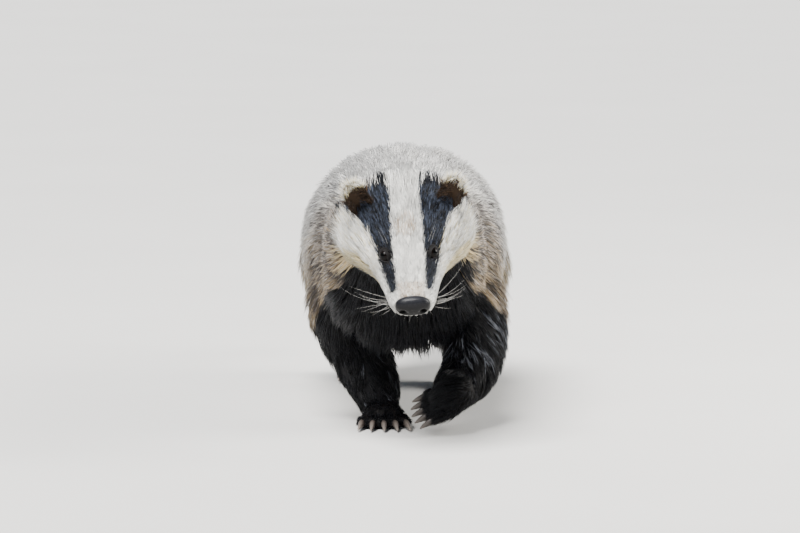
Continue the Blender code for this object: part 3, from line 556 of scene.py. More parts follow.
# %% Neck
NECK_STEPS = 26
neck_start = on_head((0, HEAD_LENGTH - 0.012, HEAD[-1, 1]))[0]
neck_end = np.array([0, TRUNK[0, 0] + 0.010, TRUNK[0, 1]])
neck_reach = np.linalg.norm(neck_end - neck_start)
head_quaternion = HEAD_TURN.to_quaternion()
level = Matrix.Identity(3).to_quaternion()
neck_rings, neck_lie = [], []
for t in np.linspace(0, 1, NECK_STEPS):
    ease = t * t * (3 - 2 * t)
    start, leave, end, arrive = hermite(t)
    middle = neck_start * start + HEAD_AXES[:, 1] * neck_reach * leave
    middle = middle + neck_end * end + np.array([0, neck_reach, 0]) * arrive
    turn = np.array(head_quaternion.slerp(level, ease).to_matrix())
    swell = 1 + 0.05 * math.sin(math.pi * t)
    depths = np.array([0.0105, 0.0080 + 0.0035 * ease, 0.0070 - 0.0025 * ease])
    size = (HEAD[-1, 2:5] * (1 - ease) + TRUNK[0, 2:5] * ease) * swell - depths
    ring = oval(middle, turn[:, 0], turn[:, 2], *size, RING_POINTS, 2.15, 2.2 + 0.5 * t)
    neck_rings.append(ring)
    out_side = np.clip(np.abs((ring - middle) @ turn[:, 0]) / size[0], 0, 1)
    low = np.clip(-((ring - middle) @ turn[:, 2]) / size[2], 0, 1)
    neck_lie.append(unit(turn[:, 1] + np.outer(out_side * 0.35 + low * 0.25, [0, 0, -1.0])))
add_tube(neck_rings)
note_lie("neck", neck_rings, neck_lie)
print("neck:", round(1000 * neck_reach), "mm in", len(neck_rings), "sections")

# %% [markdown]
# ## Trunk
# The trunk is a long low barrel, widest at the belly. Its coat is over a
# centimetre deep on back and sides and thin underneath, so the skin lies inside by
# those two depths. The hair runs backwards along the spine and droops more and
# more down the flank. Four balls swell the skin at shoulders and thighs.

# %% Trunk
TRUNK_STEPS = 70
UNDERSIDE = 0.80
# middle on the animal's left and half sizes: shoulder, thigh
MUSCLES = (
    ((0.052, -0.120, 0.160), (0.034, 0.060, 0.058)),
    ((0.056, 0.175, 0.150), (0.040, 0.070, 0.055)),
)
trunk_rings, trunk_lie = [], []
for y, z, half_width, above, below in between(TRUNK, TRUNK_STEPS, TRUNK[:, 0]):
    ring = oval(
        np.array([0, y, z]), SIDE, UP,
        half_width - TRUNK_COAT, above - TRUNK_COAT, below - BELLY_COAT,
        RING_POINTS, BACK_SQUARENESS, BELLY_SQUARENESS,
    )
    down = np.clip((z + above - ring[:, 2]) / (above + below), 0, 1)
    under = np.clip((down - UNDERSIDE) / 0.20, 0, 1)
    droop = (0.10 + 1.00 * down) * (1 - under)
    lie = np.stack([np.sign(ring[:, 0]) * 0.06 * down, np.ones(len(ring)), -droop], axis=1)
    trunk_rings.append(ring)
    trunk_lie.append(unit(lie))
add_tube(trunk_rings)
note_lie("trunk", trunk_rings, trunk_lie)
for hand in (1, -1):
    for muscle, half in MUSCLES:
        add_ball(mirrored(muscle, hand), half)
print("trunk:", len(trunk_rings), "sections")

# %% [markdown]
# ## Tail
# Most of a badger's tail is hair: the flesh is little more than half as thick as
# it looks. The tube starts inside the trunk so that the remesh joins them, and its
# hair simply runs along it.

# %% Tail
TAIL_STEPS = 30
TAIL_ROOT = 0.012
ROUND_POINTS = 32
tail_rows = between(TAIL, TAIL_STEPS)
tail_rows[0, 0] -= TAIL_ROOT
tail_axis = unit(np.gradient(tail_rows[:, :2], axis=0))
tail_rings, tail_lie = [], []
for row, (back, fall) in zip(tail_rows, tail_axis):
    middle, over = np.array([0, row[0], row[1]]), np.array([0, -fall, back])
    tail_rings.append(oval(middle, SIDE, over, *(row[2:5] * TAIL_CORE), ROUND_POINTS, 2.0, 2.0))
    tail_lie.append(np.tile([0, back, fall], (ROUND_POINTS, 1)))
add_tube(tail_rings)
note_lie("tail", tail_rings, tail_lie)
print("tail:", len(tail_rings), "sections")

# %% [markdown]
# ## Limbs
# The limbs are tubes as well, from inside the trunk down to the paw. Their hair
# runs down the limb and a little backwards. On the lifted forearm it is swept to
# the outer and lower side, where it hangs as the arm swings.


# %% Limbs
def paw_axes(leg):
    """Middle of the sole, side, forward and up of a paw."""
    centre, forward, up, kind = PAWS[leg]
    ahead = unit(np.array(forward, float))
    side = unit(np.cross(ahead, np.array(up, float)))
    return np.array(centre, float), side, ahead, unit(np.cross(side, ahead)), kind


LIMB_STEPS = 40


def add_limb(leg):
    """One limb from inside the trunk to its paw."""
    rows = between(LEGS[leg], LIMB_STEPS)
    axis = unit(np.gradient(rows[:, :3], axis=0))
    rings, lies = [], []
    for row, along in zip(rows, axis):
        side = unit(SIDE - along * along[0])
        depth = np.cross(along, side)
        half_width, half_depth = row[3] - LEG_COAT, row[4] - LEG_COAT
        rings.append(oval(row[:3], side, depth, half_width, half_depth, half_depth, ROUND_POINTS, 2.0, 2.0))
        swept = 0
        if SWEEP_FROM < row[2] < SWEEP_TO:
            swept = SWEEP.get(leg, 0) * min((SWEEP_TO - row[2]) / 0.040, 1)
            swept = swept * min((row[2] - SWEEP_FROM) / 0.034, 1)
        lies.append(np.tile(unit(along * 0.94 + np.array([0, 0.22, -0.18]) + swept), (ROUND_POINTS, 1)))
    add_tube(rings)
    note_lie(leg, rings, lies)


# %% [markdown]
# ## Paws and toes
# Each paw is a low cushion with five round toes and the dark pads under them. One
# could shape a paw by hand and copy it, but drawn from its axes it can also stand
# turned: the lifted forepaw is the same paw with other axes.


# %% Paws
TOE_PROFILE = ((0.0, 0.80), (0.3, 0.92), (0.55, 0.86), (0.80, 1.0), (0.95, 0.86), (1.0, 0.62))
PAW_STEPS, PAW_POINTS, TOE_POINTS = 14, 24, 16


def toe_line(leg, i):
    """Start, tip, radius, direction and up of toe i, counted from the paw's left side."""
    centre, side, ahead, up, kind = paw_axes(leg)
    _, front, half_width, _, reach, radius, _ = FEET[kind]
    across = (i - (TOES - 1) / 2) / ((TOES - 1) / 2)
    way = unit(ahead + side * math.tan(TOE_SPREAD) * across)
    start = centre + side * (half_width * 0.72 * across) + up * (radius + 0.0004) + ahead * (front * 0.1)
    length = (reach - front * 0.1) * (1 - 0.14 * across * across)
    return start, start + way * length - up * 0.001, radius, way, up


def add_toe(leg, i):
    """One toe and the pad under its tip."""
    start, tip, radius, way, over = toe_line(leg, i)
    beside = unit(np.cross(way, over))
    rings = []
    for t, fat in TOE_PROFILE:
        size = radius * fat - PAW_COAT * 0.5
        rings.append(oval(start + (tip - start) * t, beside, over, size, size, size, TOE_POINTS, 2.0, 2.0))
    add_tube(rings)
    note_lie("paw_" + leg, rings, np.tile(unit(way), (len(rings), TOE_POINTS, 1)))
    pad = start + (tip - start) * 0.86 - over * (radius * 0.52)
    axes = np.stack([beside, way, over], 1)
    add_ball(pad, (radius * 0.62, radius * 0.80, radius * 0.42), axes, 14, 8)


def add_paw(leg):
    """The cushion of one paw, its toes and the large pad of its sole."""
    centre, side, ahead, up, kind = paw_axes(leg)
    heel, front, half_width, height, _, _, _ = FEET[kind]
    rings = []
    for t in np.linspace(0, 1, PAW_STEPS):
        fat = max(math.sin(math.pi * (0.10 + 0.76 * t)), 0.2) ** 0.5
        width = half_width * (0.62 + 0.38 * t) * fat - PAW_COAT
        tall = height * (0.5 + 0.12 * (1 - t)) * fat - PAW_COAT
        middle = centre + ahead * (-heel + (heel + front) * t) + up * (height * 0.42)
        rings.append(oval(middle, side, up, width, tall, height * 0.44, PAW_POINTS, 2.3, 2.3))
    add_tube(rings)
    note_lie("paw_" + leg, rings, np.tile(unit(ahead * 0.9 - up * 0.12), (PAW_STEPS, PAW_POINTS, 1)))
    for i in range(TOES):
        add_toe(leg, i)
    sole_half = (half_width * 0.80, front * 0.72, 0.0052)
    add_ball(centre + up * 0.0052 - ahead * 0.002, sole_half, np.stack([side, ahead, up], 1), 16, 8)


# %% Add the limbs and paws
# the lifted wrist is full in front, so the forearm runs on into the back of the paw
WRIST_MIDDLE, WRIST_HALF = np.array([0.053, -0.234, 0.053]), (0.018, 0.016, 0.012)

for leg in LEGS:
    add_limb(leg)
    add_paw(leg)
add_ball(WRIST_MIDDLE, WRIST_HALF)
print("limbs and paws:", len(form_points), "closed forms so far")

# %% [markdown]
# ## Ears
# A badger's ears are small and round, with a cup that opens forwards and outwards.
# Each is a thin bent shell: a front sheet, a rear sheet a few millimetres behind
# it, and a rim between them. A flattened ball would have no cup for the shadow
# that shows in front.


# %% Ear cups
EAR_LEAN, EAR_TURN, EAR_TIP_BACK = math.radians(20), math.radians(-22), math.radians(-20)
EAR_ROWS, EAR_COLUMNS = 18, 18
EAR_ROOT = -0.25
CUP_DEPTH, EAR_WALL = 0.0095, 0.0036


def ear_axes(hand):
    """Side, back and up of one ear."""
    lean = Matrix.Rotation(EAR_LEAN * hand, 3, "Y")
    turn = Matrix.Rotation(EAR_TURN * hand, 3, "Z")
    tip_back = Matrix.Rotation(EAR_TIP_BACK, 3, "X")
    return np.array(HEAD_TURN @ turn @ lean @ tip_back)


def ear_sheets(hand):
    """The front and the rear sheet of one ear, row by row from the root to the tip."""
    side, back, up = ear_axes(hand).T
    base = on_head(mirrored(EAR_BASE, hand))[0]
    front = np.zeros((EAR_ROWS, EAR_COLUMNS, 3))
    rear = np.zeros((EAR_ROWS, EAR_COLUMNS, 3))
    for i, t in enumerate(np.linspace(EAR_ROOT, 1, EAR_ROWS)):
        narrowest = 0.05 if t > 0.5 else 0.5
        width = EAR_HALF_WIDTH * math.sqrt(max(1 - ((t - 0.40) / 0.62) ** 2, narrowest))
        s = np.linspace(-1, 1, EAR_COLUMNS)
        cup = CUP_DEPTH * (1 - s * s) * (1 - 0.72 * max(t, 0))
        wall = EAR_WALL * (1 - 0.25 * t) * (1 - 0.3 * s * s)
        place = base + up * (EAR_HEIGHT * t) + np.outer(s * width, side)
        front[i] = place + np.outer(cup, back)
        rear[i] = place + np.outer(cup + wall, back)
    return front, rear


def shell_faces(rows, columns):
    """Faces of a front sheet, a rear sheet and the closed rim between them."""
    half = rows * columns
    faces = []
    for i in range(rows - 1):
        for j in range(columns - 1):
            a, d = i * columns + j, (i + 1) * columns + j
            faces += [(a, a + 1, d + 1, d), (half + d, half + d + 1, half + a + 1, half + a)]
        for j, flip in ((0, False), (columns - 1, True)):
            a, d = i * columns + j, (i + 1) * columns + j
            faces.append((a, half + a, half + d, d) if flip else (d, half + d, half + a, a))
    for j in range(columns - 1):
        faces.append((j, half + j, half + j + 1, j + 1))
        a = (rows - 1) * columns + j
        faces.append((a + 1, half + a + 1, half + a, a))
    return faces


# %% Add the ears
def add_ear(hand, region):
    """One ear as a bent shell, with its lie running from the base to the tip."""
    front, rear = ear_sheets(hand)
    points = np.concatenate([front.reshape(-1, 3), rear.reshape(-1, 3)])
    add_form(points, shell_faces(EAR_ROWS, EAR_COLUMNS))
    _, back, up = ear_axes(hand).T
    lie = np.tile(unit(up * 0.95 + back * 0.1), (EAR_ROWS, 2 * EAR_COLUMNS, 1))
    note_lie(region, np.concatenate([front, rear], axis=1), lie)


for hand, region in ((1, "ear_L"), (-1, "ear_R")):
    add_ear(hand, region)
print("ears:", round(1000 * EAR_HEIGHT), "mm high")

# %% [markdown]
# ## One skin over all forms
# The forms are joined in one mesh and a voxel remesh melts them into a single
# closed surface. Boolean unions would do it too, but they leave creases where two
# forms meet. A voxel grid leaves small steps instead, so we relax the points a few
# times by moving each towards the middle of its neighbours. The thin ears are
# relaxed less, or they would shrink.


# %% Helpers for meshes
def mesh_object(name, points, faces):
    """A mesh object in the scene from arrays."""
    data = bpy.data.meshes.new(name)
    data.from_pydata([tuple(p) for p in points], [], faces)
    data.update()
    made = bpy.data.objects.new(name, data)
    bpy.context.scene.collection.objects.link(made)
    return made


def applied(obj):
    """Replaces an object's mesh by its mesh with all modifiers applied."""
    graph = bpy.context.evaluated_depsgraph_get()
    data = bpy.data.meshes.new_from_object(obj.evaluated_get(graph))
    obj.modifiers.clear()
    obj.data = data
    return obj


def read_points(data, key="co"):
    """A mesh's points, or their normals, as an array."""
    values = np.zeros(len(data.vertices) * 3, np.float32)
    data.vertices.foreach_get(key, values)
    return values.reshape(-1, 3).astype(float)


def move_points(data, points):
    """Puts a mesh's points in new places."""
    data.vertices.foreach_set("co", points.astype(np.float32).ravel())
    data.update()


def edges_of(data):
    """A mesh's edges as pairs of point numbers."""
    values = np.zeros(len(data.edges) * 2, np.int32)
    data.edges.foreach_get("vertices", values)
    return values.reshape(-1, 2)


def relaxed(values, edges, rounds, share):
    """Values moved towards the mean of their neighbours, a few times over."""
    count = np.bincount(edges.ravel(), minlength=len(values)).astype(float)
    count = np.maximum(count, 1)[:, None]
    for _ in range(rounds):
        total = np.zeros_like(values)
        for c in range(values.shape[1]):
            for own, other in ((0, 1), (1, 0)):
                given = values[edges[:, other], c]
                total[:, c] += np.bincount(edges[:, own], weights=given, minlength=len(values))
        values = values + share * (total / count - values)
    return values


# %% Remesh
VOXEL = 0.0022
SMOOTHING_ROUNDS = 5
EAR_SMOOTHING = 0.35

skin = mesh_object("skin", np.concatenate(form_points), form_faces)
remesh = skin.modifiers.new("remesh", "REMESH")
remesh.mode = "VOXEL"
remesh.voxel_size = VOXEL
applied(skin)
points = read_points(skin.data)
smooth = relaxed(points, edges_of(skin.data), SMOOTHING_ROUNDS, 0.5)
local = to_head(points)
about_ears = (local[:, 1] > 0.100) & (local[:, 2] > 0.028) & (np.abs(local[:, 0]) > 0.018)
points = points + (smooth - points) * np.where(about_ears, EAR_SMOOTHING, 1.0)[:, None]
move_points(skin.data, points)
print("skin:", len(skin.data.vertices), "points after the remesh")

# %% [markdown]
# ## A finer face
# The face needs smaller facets than the back. A finer remesh of the whole animal
# would be slow, so we split the faces of the muzzle once and those round the eyes
# once more. Then we can shape lids and lips by moving points.


# %% Split the face's facets
def split_where(obj, chosen):
    """Splits every edge of the faces whose middle a test picks."""
    mesh = bmesh.new()
    mesh.from_mesh(obj.data)
    middles = np.array([f.calc_center_median() for f in mesh.faces])
    mesh.faces.ensure_lookup_table()
    picked = {e for i in np.nonzero(chosen(to_head(middles)))[0] for e in mesh.faces[i].edges}
    bmesh.ops.subdivide_edges(mesh, edges=list(picked), cuts=1, use_grid_fill=True)
    many = [f for f in mesh.faces if len(f.verts) > 4]
    bmesh.ops.triangulate(mesh, faces=many)
    mesh.to_mesh(obj.data)
    mesh.free()


def near_eyes(local, reach):
    """True within a reach of either eye, in the head's own axes."""
    return np.minimum(
        np.linalg.norm(local - mirrored(EYE_CENTRE, 1), axis=1),
        np.linalg.norm(local - mirrored(EYE_CENTRE, -1), axis=1),
    ) < reach


FACE_BOX = (0.062, 0.090, 0.060)
EYE_SURROUNDS = 0.014


def in_face(local):
    """True in front of the cheeks, in the head's own axes."""
    side_x, back, rise = np.abs(local[:, 0]), local[:, 1], np.abs(local[:, 2])
    return (back < FACE_BOX[1]) & (side_x < FACE_BOX[0]) & (rise < FACE_BOX[2])


split_where(skin, in_face)
split_where(skin, lambda local: near_eyes(local, EYE_SURROUNDS))
print("skin:", len(skin.data.vertices), "points with the finer face")

# %% [markdown]
# ## Sockets for the eyes
# An eyeball that only touches the skin looks glued on. Here the skin rises round
# each ball and sinks behind its opening, as one would press a socket with a
# sculpting brush. How far a point lies from the opening decides how far it moves.


# %% Sockets
def eye_axes(hand):
    """The way an eye looks, its long axis towards the nose, and the axis across."""
    look = unit(HEAD_AXES @ mirrored(EYE_LOOK, hand))
    nose_way = HEAD_AXES @ np.array([-0.20 * hand, -1.0, -0.15])
    long_way = unit(nose_way - look * (nose_way @ look))
    return look, long_way, np.cross(look, long_way)


OPENING = (0.0057, 0.0043)


def eye_reach(points, hand):
    """How far points are from an eye's middle, with 1 at the edge of its opening."""
    look, long_way, cross_way = eye_axes(hand)
    centre = on_head(mirrored(EYE_CENTRE, hand))[0]
    away = points - centre
    a, b, depth = away @ long_way, away @ cross_way, away @ look
    reach = np.sqrt((a / OPENING[0]) ** 2 + (b / OPENING[1]) ** 2)
    reach[(depth < -0.006) | (np.linalg.norm(away, axis=1) > 0.025)] = 99
    return reach, depth, np.hypot(a, b), look


points = read_points(skin.data)
for hand in (1, -1):
    reach, depth, radial, look = eye_reach(points, hand)
    ball = np.sqrt(np.maximum(EYE_RADIUS**2 - radial**2, 0))
    raised = np.maximum(ball - 0.0004, depth)
    pull = np.clip((2.2 - reach) / 0.9, 0, 1) ** 1.3
    sunk = np.clip((1.35 - reach) / 0.25, 0, 1)
    target = raised * (1 - sunk) - 0.003 * sunk
    near = reach < 2.3
    points[near] += ((target - depth) * pull)[near, None] * look
print("eyes open", round(2000 * OPENING[0], 1), "by", round(2000 * OPENING[1], 1), "mm")

# %% [markdown]
# ## Lips and the line of the mouth
# The mouth is closed and runs back along the side of the muzzle. A groove follows
# it, with a soft lip above and below. We measure how high each point lies round
# its section of the head, so that the line keeps its height as the muzzle widens.
# A small cleft runs down under the nose, and the skin makes room for the pad.


# %% The mouth's line
def section_angle(local):
    """How high on its head section a point lies: -90 at the chin, 0 at the side, 90 on top."""
    back = local[:, 1]
    middle, half_width, above, below = (np.interp(back, HEAD[:, 0], HEAD[:, i]) for i in range(1, 5))
    rise = local[:, 2] - middle
    tall = np.where(rise > 0, above, below)
    s = np.abs(rise / tall) ** (HEAD_SQUARENESS / 2) * np.sign(rise)
    c = np.abs(local[:, 0] / half_width) ** (HEAD_SQUARENESS / 2)
    return np.degrees(np.arctan2(s, c)), half_width


MOUTH_START, MOUTH_END = 0.0100, 0.0560


def mouth_distance(local):
    """Distance above the line of the mouth, and how much of the mouth is there."""
    angle, half_width = section_angle(local)
    share = np.clip((local[:, 1] - MOUTH_START) / (MOUTH_END - MOUTH_START), 0, 1)
    line = -40 - 8 * np.sin(np.pi * share)
    fading_out = np.clip((MOUTH_END - local[:, 1]) / 0.006, 0, 1)
    fading_in = np.clip((local[:, 1] - 0.004) / 0.004, 0, 1)
    return np.radians(angle - line) * half_width * 0.9, fading_out * fading_in


# %% Shape the lips
PAD_ROOM = 0.0012


def ridge(values, middle, width, height):
    """A soft ridge, or with a negative height a groove, along a line."""
    return height * np.exp(-(((values - middle) / width) ** 2))


local = to_head(points)
mouth_away, mouth_window = mouth_distance(local)
groove = ridge(mouth_away, 0, 0.0010, -0.0016)
lips = ridge(mouth_away, 0.0026, 0.0016, 0.0007) + ridge(mouth_away, -0.0024, 0.0014, 0.0006)
under_nose = (np.abs(local[:, 0]) < 0.006) & (local[:, 1] < 0.012) & (local[:, 2] < -0.008)
cleft = np.where(under_nose, ridge(local[:, 0], 0, 0.0009, -0.0007), 0)
normals = read_points(skin.data, "normal")
points += normals * ((groove + lips) * mouth_window + cleft)[:, None]
local = to_head(points)
pad_away = np.abs(local - PAD_CENTRE)
behind_pad = (pad_away[:, 0] < PAD_HALF[0] - PAD_ROOM) & (pad_away[:, 2] < PAD_HALF[2] - PAD_ROOM)
local[behind_pad, 1] = np.maximum(local[behind_pad, 1], PAD_CENTRE[1] + 0.0015)
points = on_head(local)
move_points(skin.data, points)
skin.data.shade_smooth()
print("mouth line from", MOUTH_START, "to", MOUTH_END, "m behind the nose")

# %% [markdown]
# ## What the coat knows at each point of the skin
# For every point of the skin we look up the nearest noted point of the tubes. It
# tells the region, the place round and along it, and the lie of the hair. The
# directions are then laid flat on the skin and relaxed, so that they turn smoothly
# from the cheek to the neck and from the shoulder to the leg.

# %% Look up region, place and lie
FACE_ROUNDS, BODY_ROUNDS = 24, 140

all_seeds = np.concatenate(seed_points)
all_region = np.concatenate(seed_region)
all_place = np.concatenate(seed_place)
all_lie = np.concatenate(seed_lie)
tree = KDTree(len(all_seeds))
for i, p in enumerate(all_seeds):
    tree.insert(p, i)
tree.balance()
nearest = np.array([tree.find(p)[1] for p in points])
region = all_region[nearest]
place = all_place[nearest]
region_names = np.array(REGIONS)[region]
skin_edges = edges_of(skin.data)
normals = read_points(skin.data, "normal")
lie = relaxed(all_lie[nearest], skin_edges, FACE_ROUNDS, 0.7)
off_face = np.clip((to_head(points)[:, 1] - 0.110) / 0.030, 0, 1)[:, None]
lie += (relaxed(lie, skin_edges, BODY_ROUNDS, 0.7) - lie) * off_face
lie = unit(lie - normals * (lie * normals).sum(axis=1, keepdims=True))
print("regions:", {name: int((region == i).sum()) for i, name in enumerate(REGIONS)})

# %% [markdown]
# ## Markings
# The badger's face is white with two black stripes that begin beside the nose, run
# through the eyes and over the ears, and fade on the neck. Throat, chest, belly and
# legs are black, the back is grey, and the low flanks are buff. One could paint an
# image and wrap it round, but a plain function of place has no seams, and both the
# skin and the hair can ask it, so that they agree. We build it in four parts.

# %% Where each colour lies
WHITE, CREAM, TAN, BLACK, EAR_BROWN, GREY, BUFF, PAINTED_GLINT, STRIPE_SHEEN = range(9)
DARK = (BLACK, EAR_BROWN, PAINTED_GLINT, STRIPE_SHEEN)
COLOURS = np.array([
    (0.86, 0.85, 0.81),
    (0.70, 0.60, 0.36),
    (0.56, 0.45, 0.34),
    (0.0036, 0.0035, 0.0045),
    (0.046, 0.029, 0.018),
    (0.50, 0.49, 0.475),
    (0.37, 0.295, 0.180),
    # painted highlight: silver grey for black leg hairs that catch the light
    (0.15, 0.16, 0.185),
    # painted sheen: bluish grey for black stripe hairs that catch the light
    (0.062, 0.076, 0.112),
])
print("colours of the coat:", len(COLOURS))

# %% Marks of the head
STRIPE_AT = (0.0, 0.02, 0.06, 0.10, 0.13, 0.17)
STRIPE_INNER = (0.0125, 0.0140, 0.0154, 0.0152, 0.0142, 0.0155)
STRIPE_OUTER_AT = (0.0, 0.02, 0.035, 0.057, 0.09, 0.112, 0.13, 0.17)
STRIPE_OUTER = (0.018, 0.0205, 0.0245, 0.0300, 0.0375, 0.0465, 0.0560, 0.062)
STRIPE_START = 0.0185
CHEEK_AT = (0.0, 0.03, 0.045, 0.06, 0.08, 0.10, 0.115, 0.15)
CHEEK_TO = (-100, -80, -44, -27, -20, -26, -50, -56)
STRIPE_SHEEN_AT, STRIPE_SHEEN_SHARE = (0.0, 0.05, 0.065, 0.085), (0.14, 0.10, 0.13, 0.34)
HEAD_BACK = 0.150


def stripe_edges(back):
    """How far from the middle a face stripe begins and ends."""
    inner = np.interp(back, STRIPE_AT, STRIPE_INNER)
    return inner, np.interp(back, STRIPE_OUTER_AT, STRIPE_OUTER)


def mark_head(marks, local, chance):
    """White face, two black stripes with bluish hairs of painted sheen, a cream cheek and a tan brow."""
    x, back = np.abs(local[:, 0]), local[:, 1]
    angle, _ = section_angle(local)
    inner, outer = stripe_edges(back)
    low = np.interp(back, CHEEK_AT, CHEEK_TO)
    head = back < HEAD_BACK
    stripe = (x > inner) & (x < outer) & (angle > 4) & (back > STRIPE_START)
    pale = angle > low
    creamy = pale & (angle < low + 30) & (back > 0.045) & ~stripe
    marks[head] = BLACK
    marks[head & pale] = WHITE
    marks[head & creamy & (chance < 0.80)] = CREAM
    marks[head & pale & (x > 0.030) & (chance > 0.86)] = CREAM
    brow = (np.hypot(local[:, 0] + 0.001, (back - 0.088) * 0.8) < 0.011) & (angle > 40)
    marks[head & brow & (chance < 0.50)] = TAN
    bridge = (back < 0.026) & (x < 0.013) & (angle > 20)
    marks[head & bridge & (chance < 0.55)] = TAN
    marks[head & stripe] = BLACK
    # painted sheen: a share of the stripe's hairs, more towards the back of the head, is painted bluish
    # grey
    stripe_sheen_share = np.interp(back, STRIPE_SHEEN_AT, STRIPE_SHEEN_SHARE)
    marks[head & stripe & (chance < stripe_sheen_share)] = STRIPE_SHEEN
    return head


# %% Marks of the body
BLACK_AT = (-0.30, -0.22, -0.18, -0.12, 0.0, 0.20, 0.30)
BLACK_TO = (-8, -16, -26, -44, -58, -56, -50)
BUFF_AT, BUFF_TO = (-0.25, -0.12, 0.0), (42, 26, 14)


def mark_body(marks, body, places, local, chance):
    """Grey back, buff flanks, black underside, and the stripes' ends on the nape."""
    x, back = np.abs(local[:, 0]), local[:, 1]
    y, z = places[:, 1], places[:, 2]
    middle, half_width, above, below = (np.interp(y, TRUNK[:, 0], TRUNK[:, i]) for i in range(1, 5))
    rise = (z - middle) / np.where(z > middle, above, below)
    around = np.degrees(np.arctan2(rise, np.abs(places[:, 0]) / half_width))
    buff_to = np.interp(y, BUFF_AT, BUFF_TO)
    buff_share = np.clip((buff_to - around) / 45, 0, 0.80)
    marks[body & (around < buff_to) & (chance < buff_share)] = BUFF
    marks[body & (around < np.interp(y, BLACK_AT, BLACK_TO))] = BLACK
    nape = body & (x < 0.020 + (back - 0.15) * 0.45) & (around > 30)
    marks[nape & (chance < np.clip((0.40 - back) / 0.22, 0, 1))] = WHITE
    inner, outer = stripe_edges(back)
    stripe_end = body & (back < 0.20) & (x > inner) & (x < outer + 0.004) & (around > 10)
    marks[stripe_end & (chance < np.clip((0.195 - back) / 0.045, 0, 1))] = BLACK


# %% Marks of legs, ears and tail
LEG_TOP_FORE, LEG_TOP_HIND = 0.122, 0.118


def mark_limbs(marks, names, places, local, chance):
    """Black legs, black ears with a pale rim and a brown cup, and a grizzled tail."""
    leg_like = np.isin(names, tuple(LEGS))
    outward = np.clip((np.abs(places[:, 0]) - 0.072) / 0.018, 0, 1)
    leg_top = np.where(places[:, 1] < 0, LEG_TOP_FORE, LEG_TOP_HIND) - 0.042 * outward
    marks[leg_like & (places[:, 2] < leg_top)] = BLACK
    marks[np.char.startswith(names, "paw")] = BLACK
    ear_like = np.char.startswith(names, "ear")
    for hand in (1, -1):
        mine = ear_like & (np.sign(local[:, 0]) == hand)
        ear_local = (places - on_head(mirrored(EAR_BASE, hand))[0]) @ ear_axes(hand)
        rise = ear_local[:, 2] / EAR_HEIGHT
        marks[mine] = BLACK
        marks[mine & (ear_local[:, 1] < 0.008)] = EAR_BROWN
        marks[mine & (rise > 0.80)] = WHITE
        marks[mine & (rise > 0.72) & (chance < 0.5)] = CREAM
    tail_like = names == "tail"
    marks[tail_like] = np.where(chance[tail_like] < 0.55, GREY, BUFF)


# %% All marks together
EDGE_BLUR = 0.0011


def markings(points, region, random):
    """The colour number of each place, with edges blurred by a random millimetre or so."""
    count = len(points)
    fuzzy = points + random.normal(0, EDGE_BLUR, (count, 3))
    local = to_head(fuzzy)
    chance = random.random(count)
    marks = np.full(count, GREY)
    head = mark_head(marks, local, chance)
    mark_body(marks, ~head, fuzzy, local, chance)
    mark_limbs(marks, np.array(REGIONS)[region], fuzzy, local, chance)
    return marks


marks = markings(points, region, np.random.default_rng(3))
print("skin points of each colour:", np.bincount(marks, minlength=len(COLOURS)).tolist())

# %% [markdown]
# ## The skin's finish
# Skin shows only where the coat is thin: lids, lips, the cups of the ears and the
# pads of the paws. It takes the coat's markings, with the pale ones darkened as
# painted shade, most on the body, so that skin seen between the locks reads as the
# shadow in the gaps of the coat. A pale skin would show as bald spots between the
# locks. The finish is dull, with a fine grain. The colours are stored point by
# point, which needs no flat map of the animal.

# %% Skin colours
# painted shade: pale marks on the skin keep only these shares of their coat colour, so the skin between the
# locks reads as shadow
HEAD_SKIN_SHADE_SHARE, BODY_SKIN_SHADE_SHARE = 0.42, 0.18
LIP_COLOUR = (0.020, 0.014, 0.013)
LID_SKIN_COLOUR = (0.009, 0.008, 0.008)
PAW_SKIN_COLOUR = (0.006, 0.005, 0.005)

local = to_head(points)
skin_shade_share = np.where(local[:, 1] < HEAD_BACK, HEAD_SKIN_SHADE_SHARE, BODY_SKIN_SHADE_SHARE)
skin_colour = COLOURS[marks] * np.where(np.isin(marks, DARK), 1.0, skin_shade_share)[:, None]
mouth_away, mouth_window = mouth_distance(local)
lip_line = (np.abs(mouth_away) < 0.0020) & (mouth_window > 0) & (local[:, 1] < MOUTH_END)
skin_colour[lip_line] = LIP_COLOUR
for hand in (1, -1):
    skin_colour[eye_reach(points, hand)[0] < 2.0] = LID_SKIN_COLOUR
skin_colour[np.char.startswith(region_names, "ear")] = COLOURS[EAR_BROWN]
skin_colour[np.char.startswith(region_names, "paw")] = PAW_SKIN_COLOUR
print("bare lips:", int(lip_line.sum()), "points")


# %% Skin material
def set_colours(data, name, colours):
    """Stores a colour for each point of a mesh."""
    layer = data.color_attributes.new(name, "FLOAT_COLOR", "POINT")
    values = np.concatenate([colours, np.ones((len(colours), 1))], axis=1)
    layer.data.foreach_set("color", values.astype(np.float32).ravel())


set_colours(skin.data, "pelt", skin_colour)
skin_finish, tree_nodes, shader = new_material("skin", 0.62, 0.12)
grain = add_node(tree_nodes, "ShaderNodeTexNoise", Scale=420.0, Detail=4.0)
mottle = add_node(tree_nodes, "ShaderNodeTexNoise", Scale=60.0, Detail=3.0)
colour_by_tone(tree_nodes, shader, ramp(tree_nodes, mottle.outputs["Fac"], ((0.3, 0.72), (0.7, 1.0))))
add_bump(tree_nodes, shader, grain.outputs["Fac"], 0.5, 0.0006)
skin.data.materials.append(skin_finish)
print("skin finish on", len(points), "points")

# %% [markdown]
# ## Length, width and lift of the hair
# Hair is short on the face and feet and long on the back. For each point of the
# skin we give the hair's length and width, how high its tip stands, how many tufts
# grow on a square metre, and how much a tuft closes to its tip. One value for the
# whole animal would bury the face. The first three are relaxed as well, so that
# nothing changes abruptly from one part to the next.

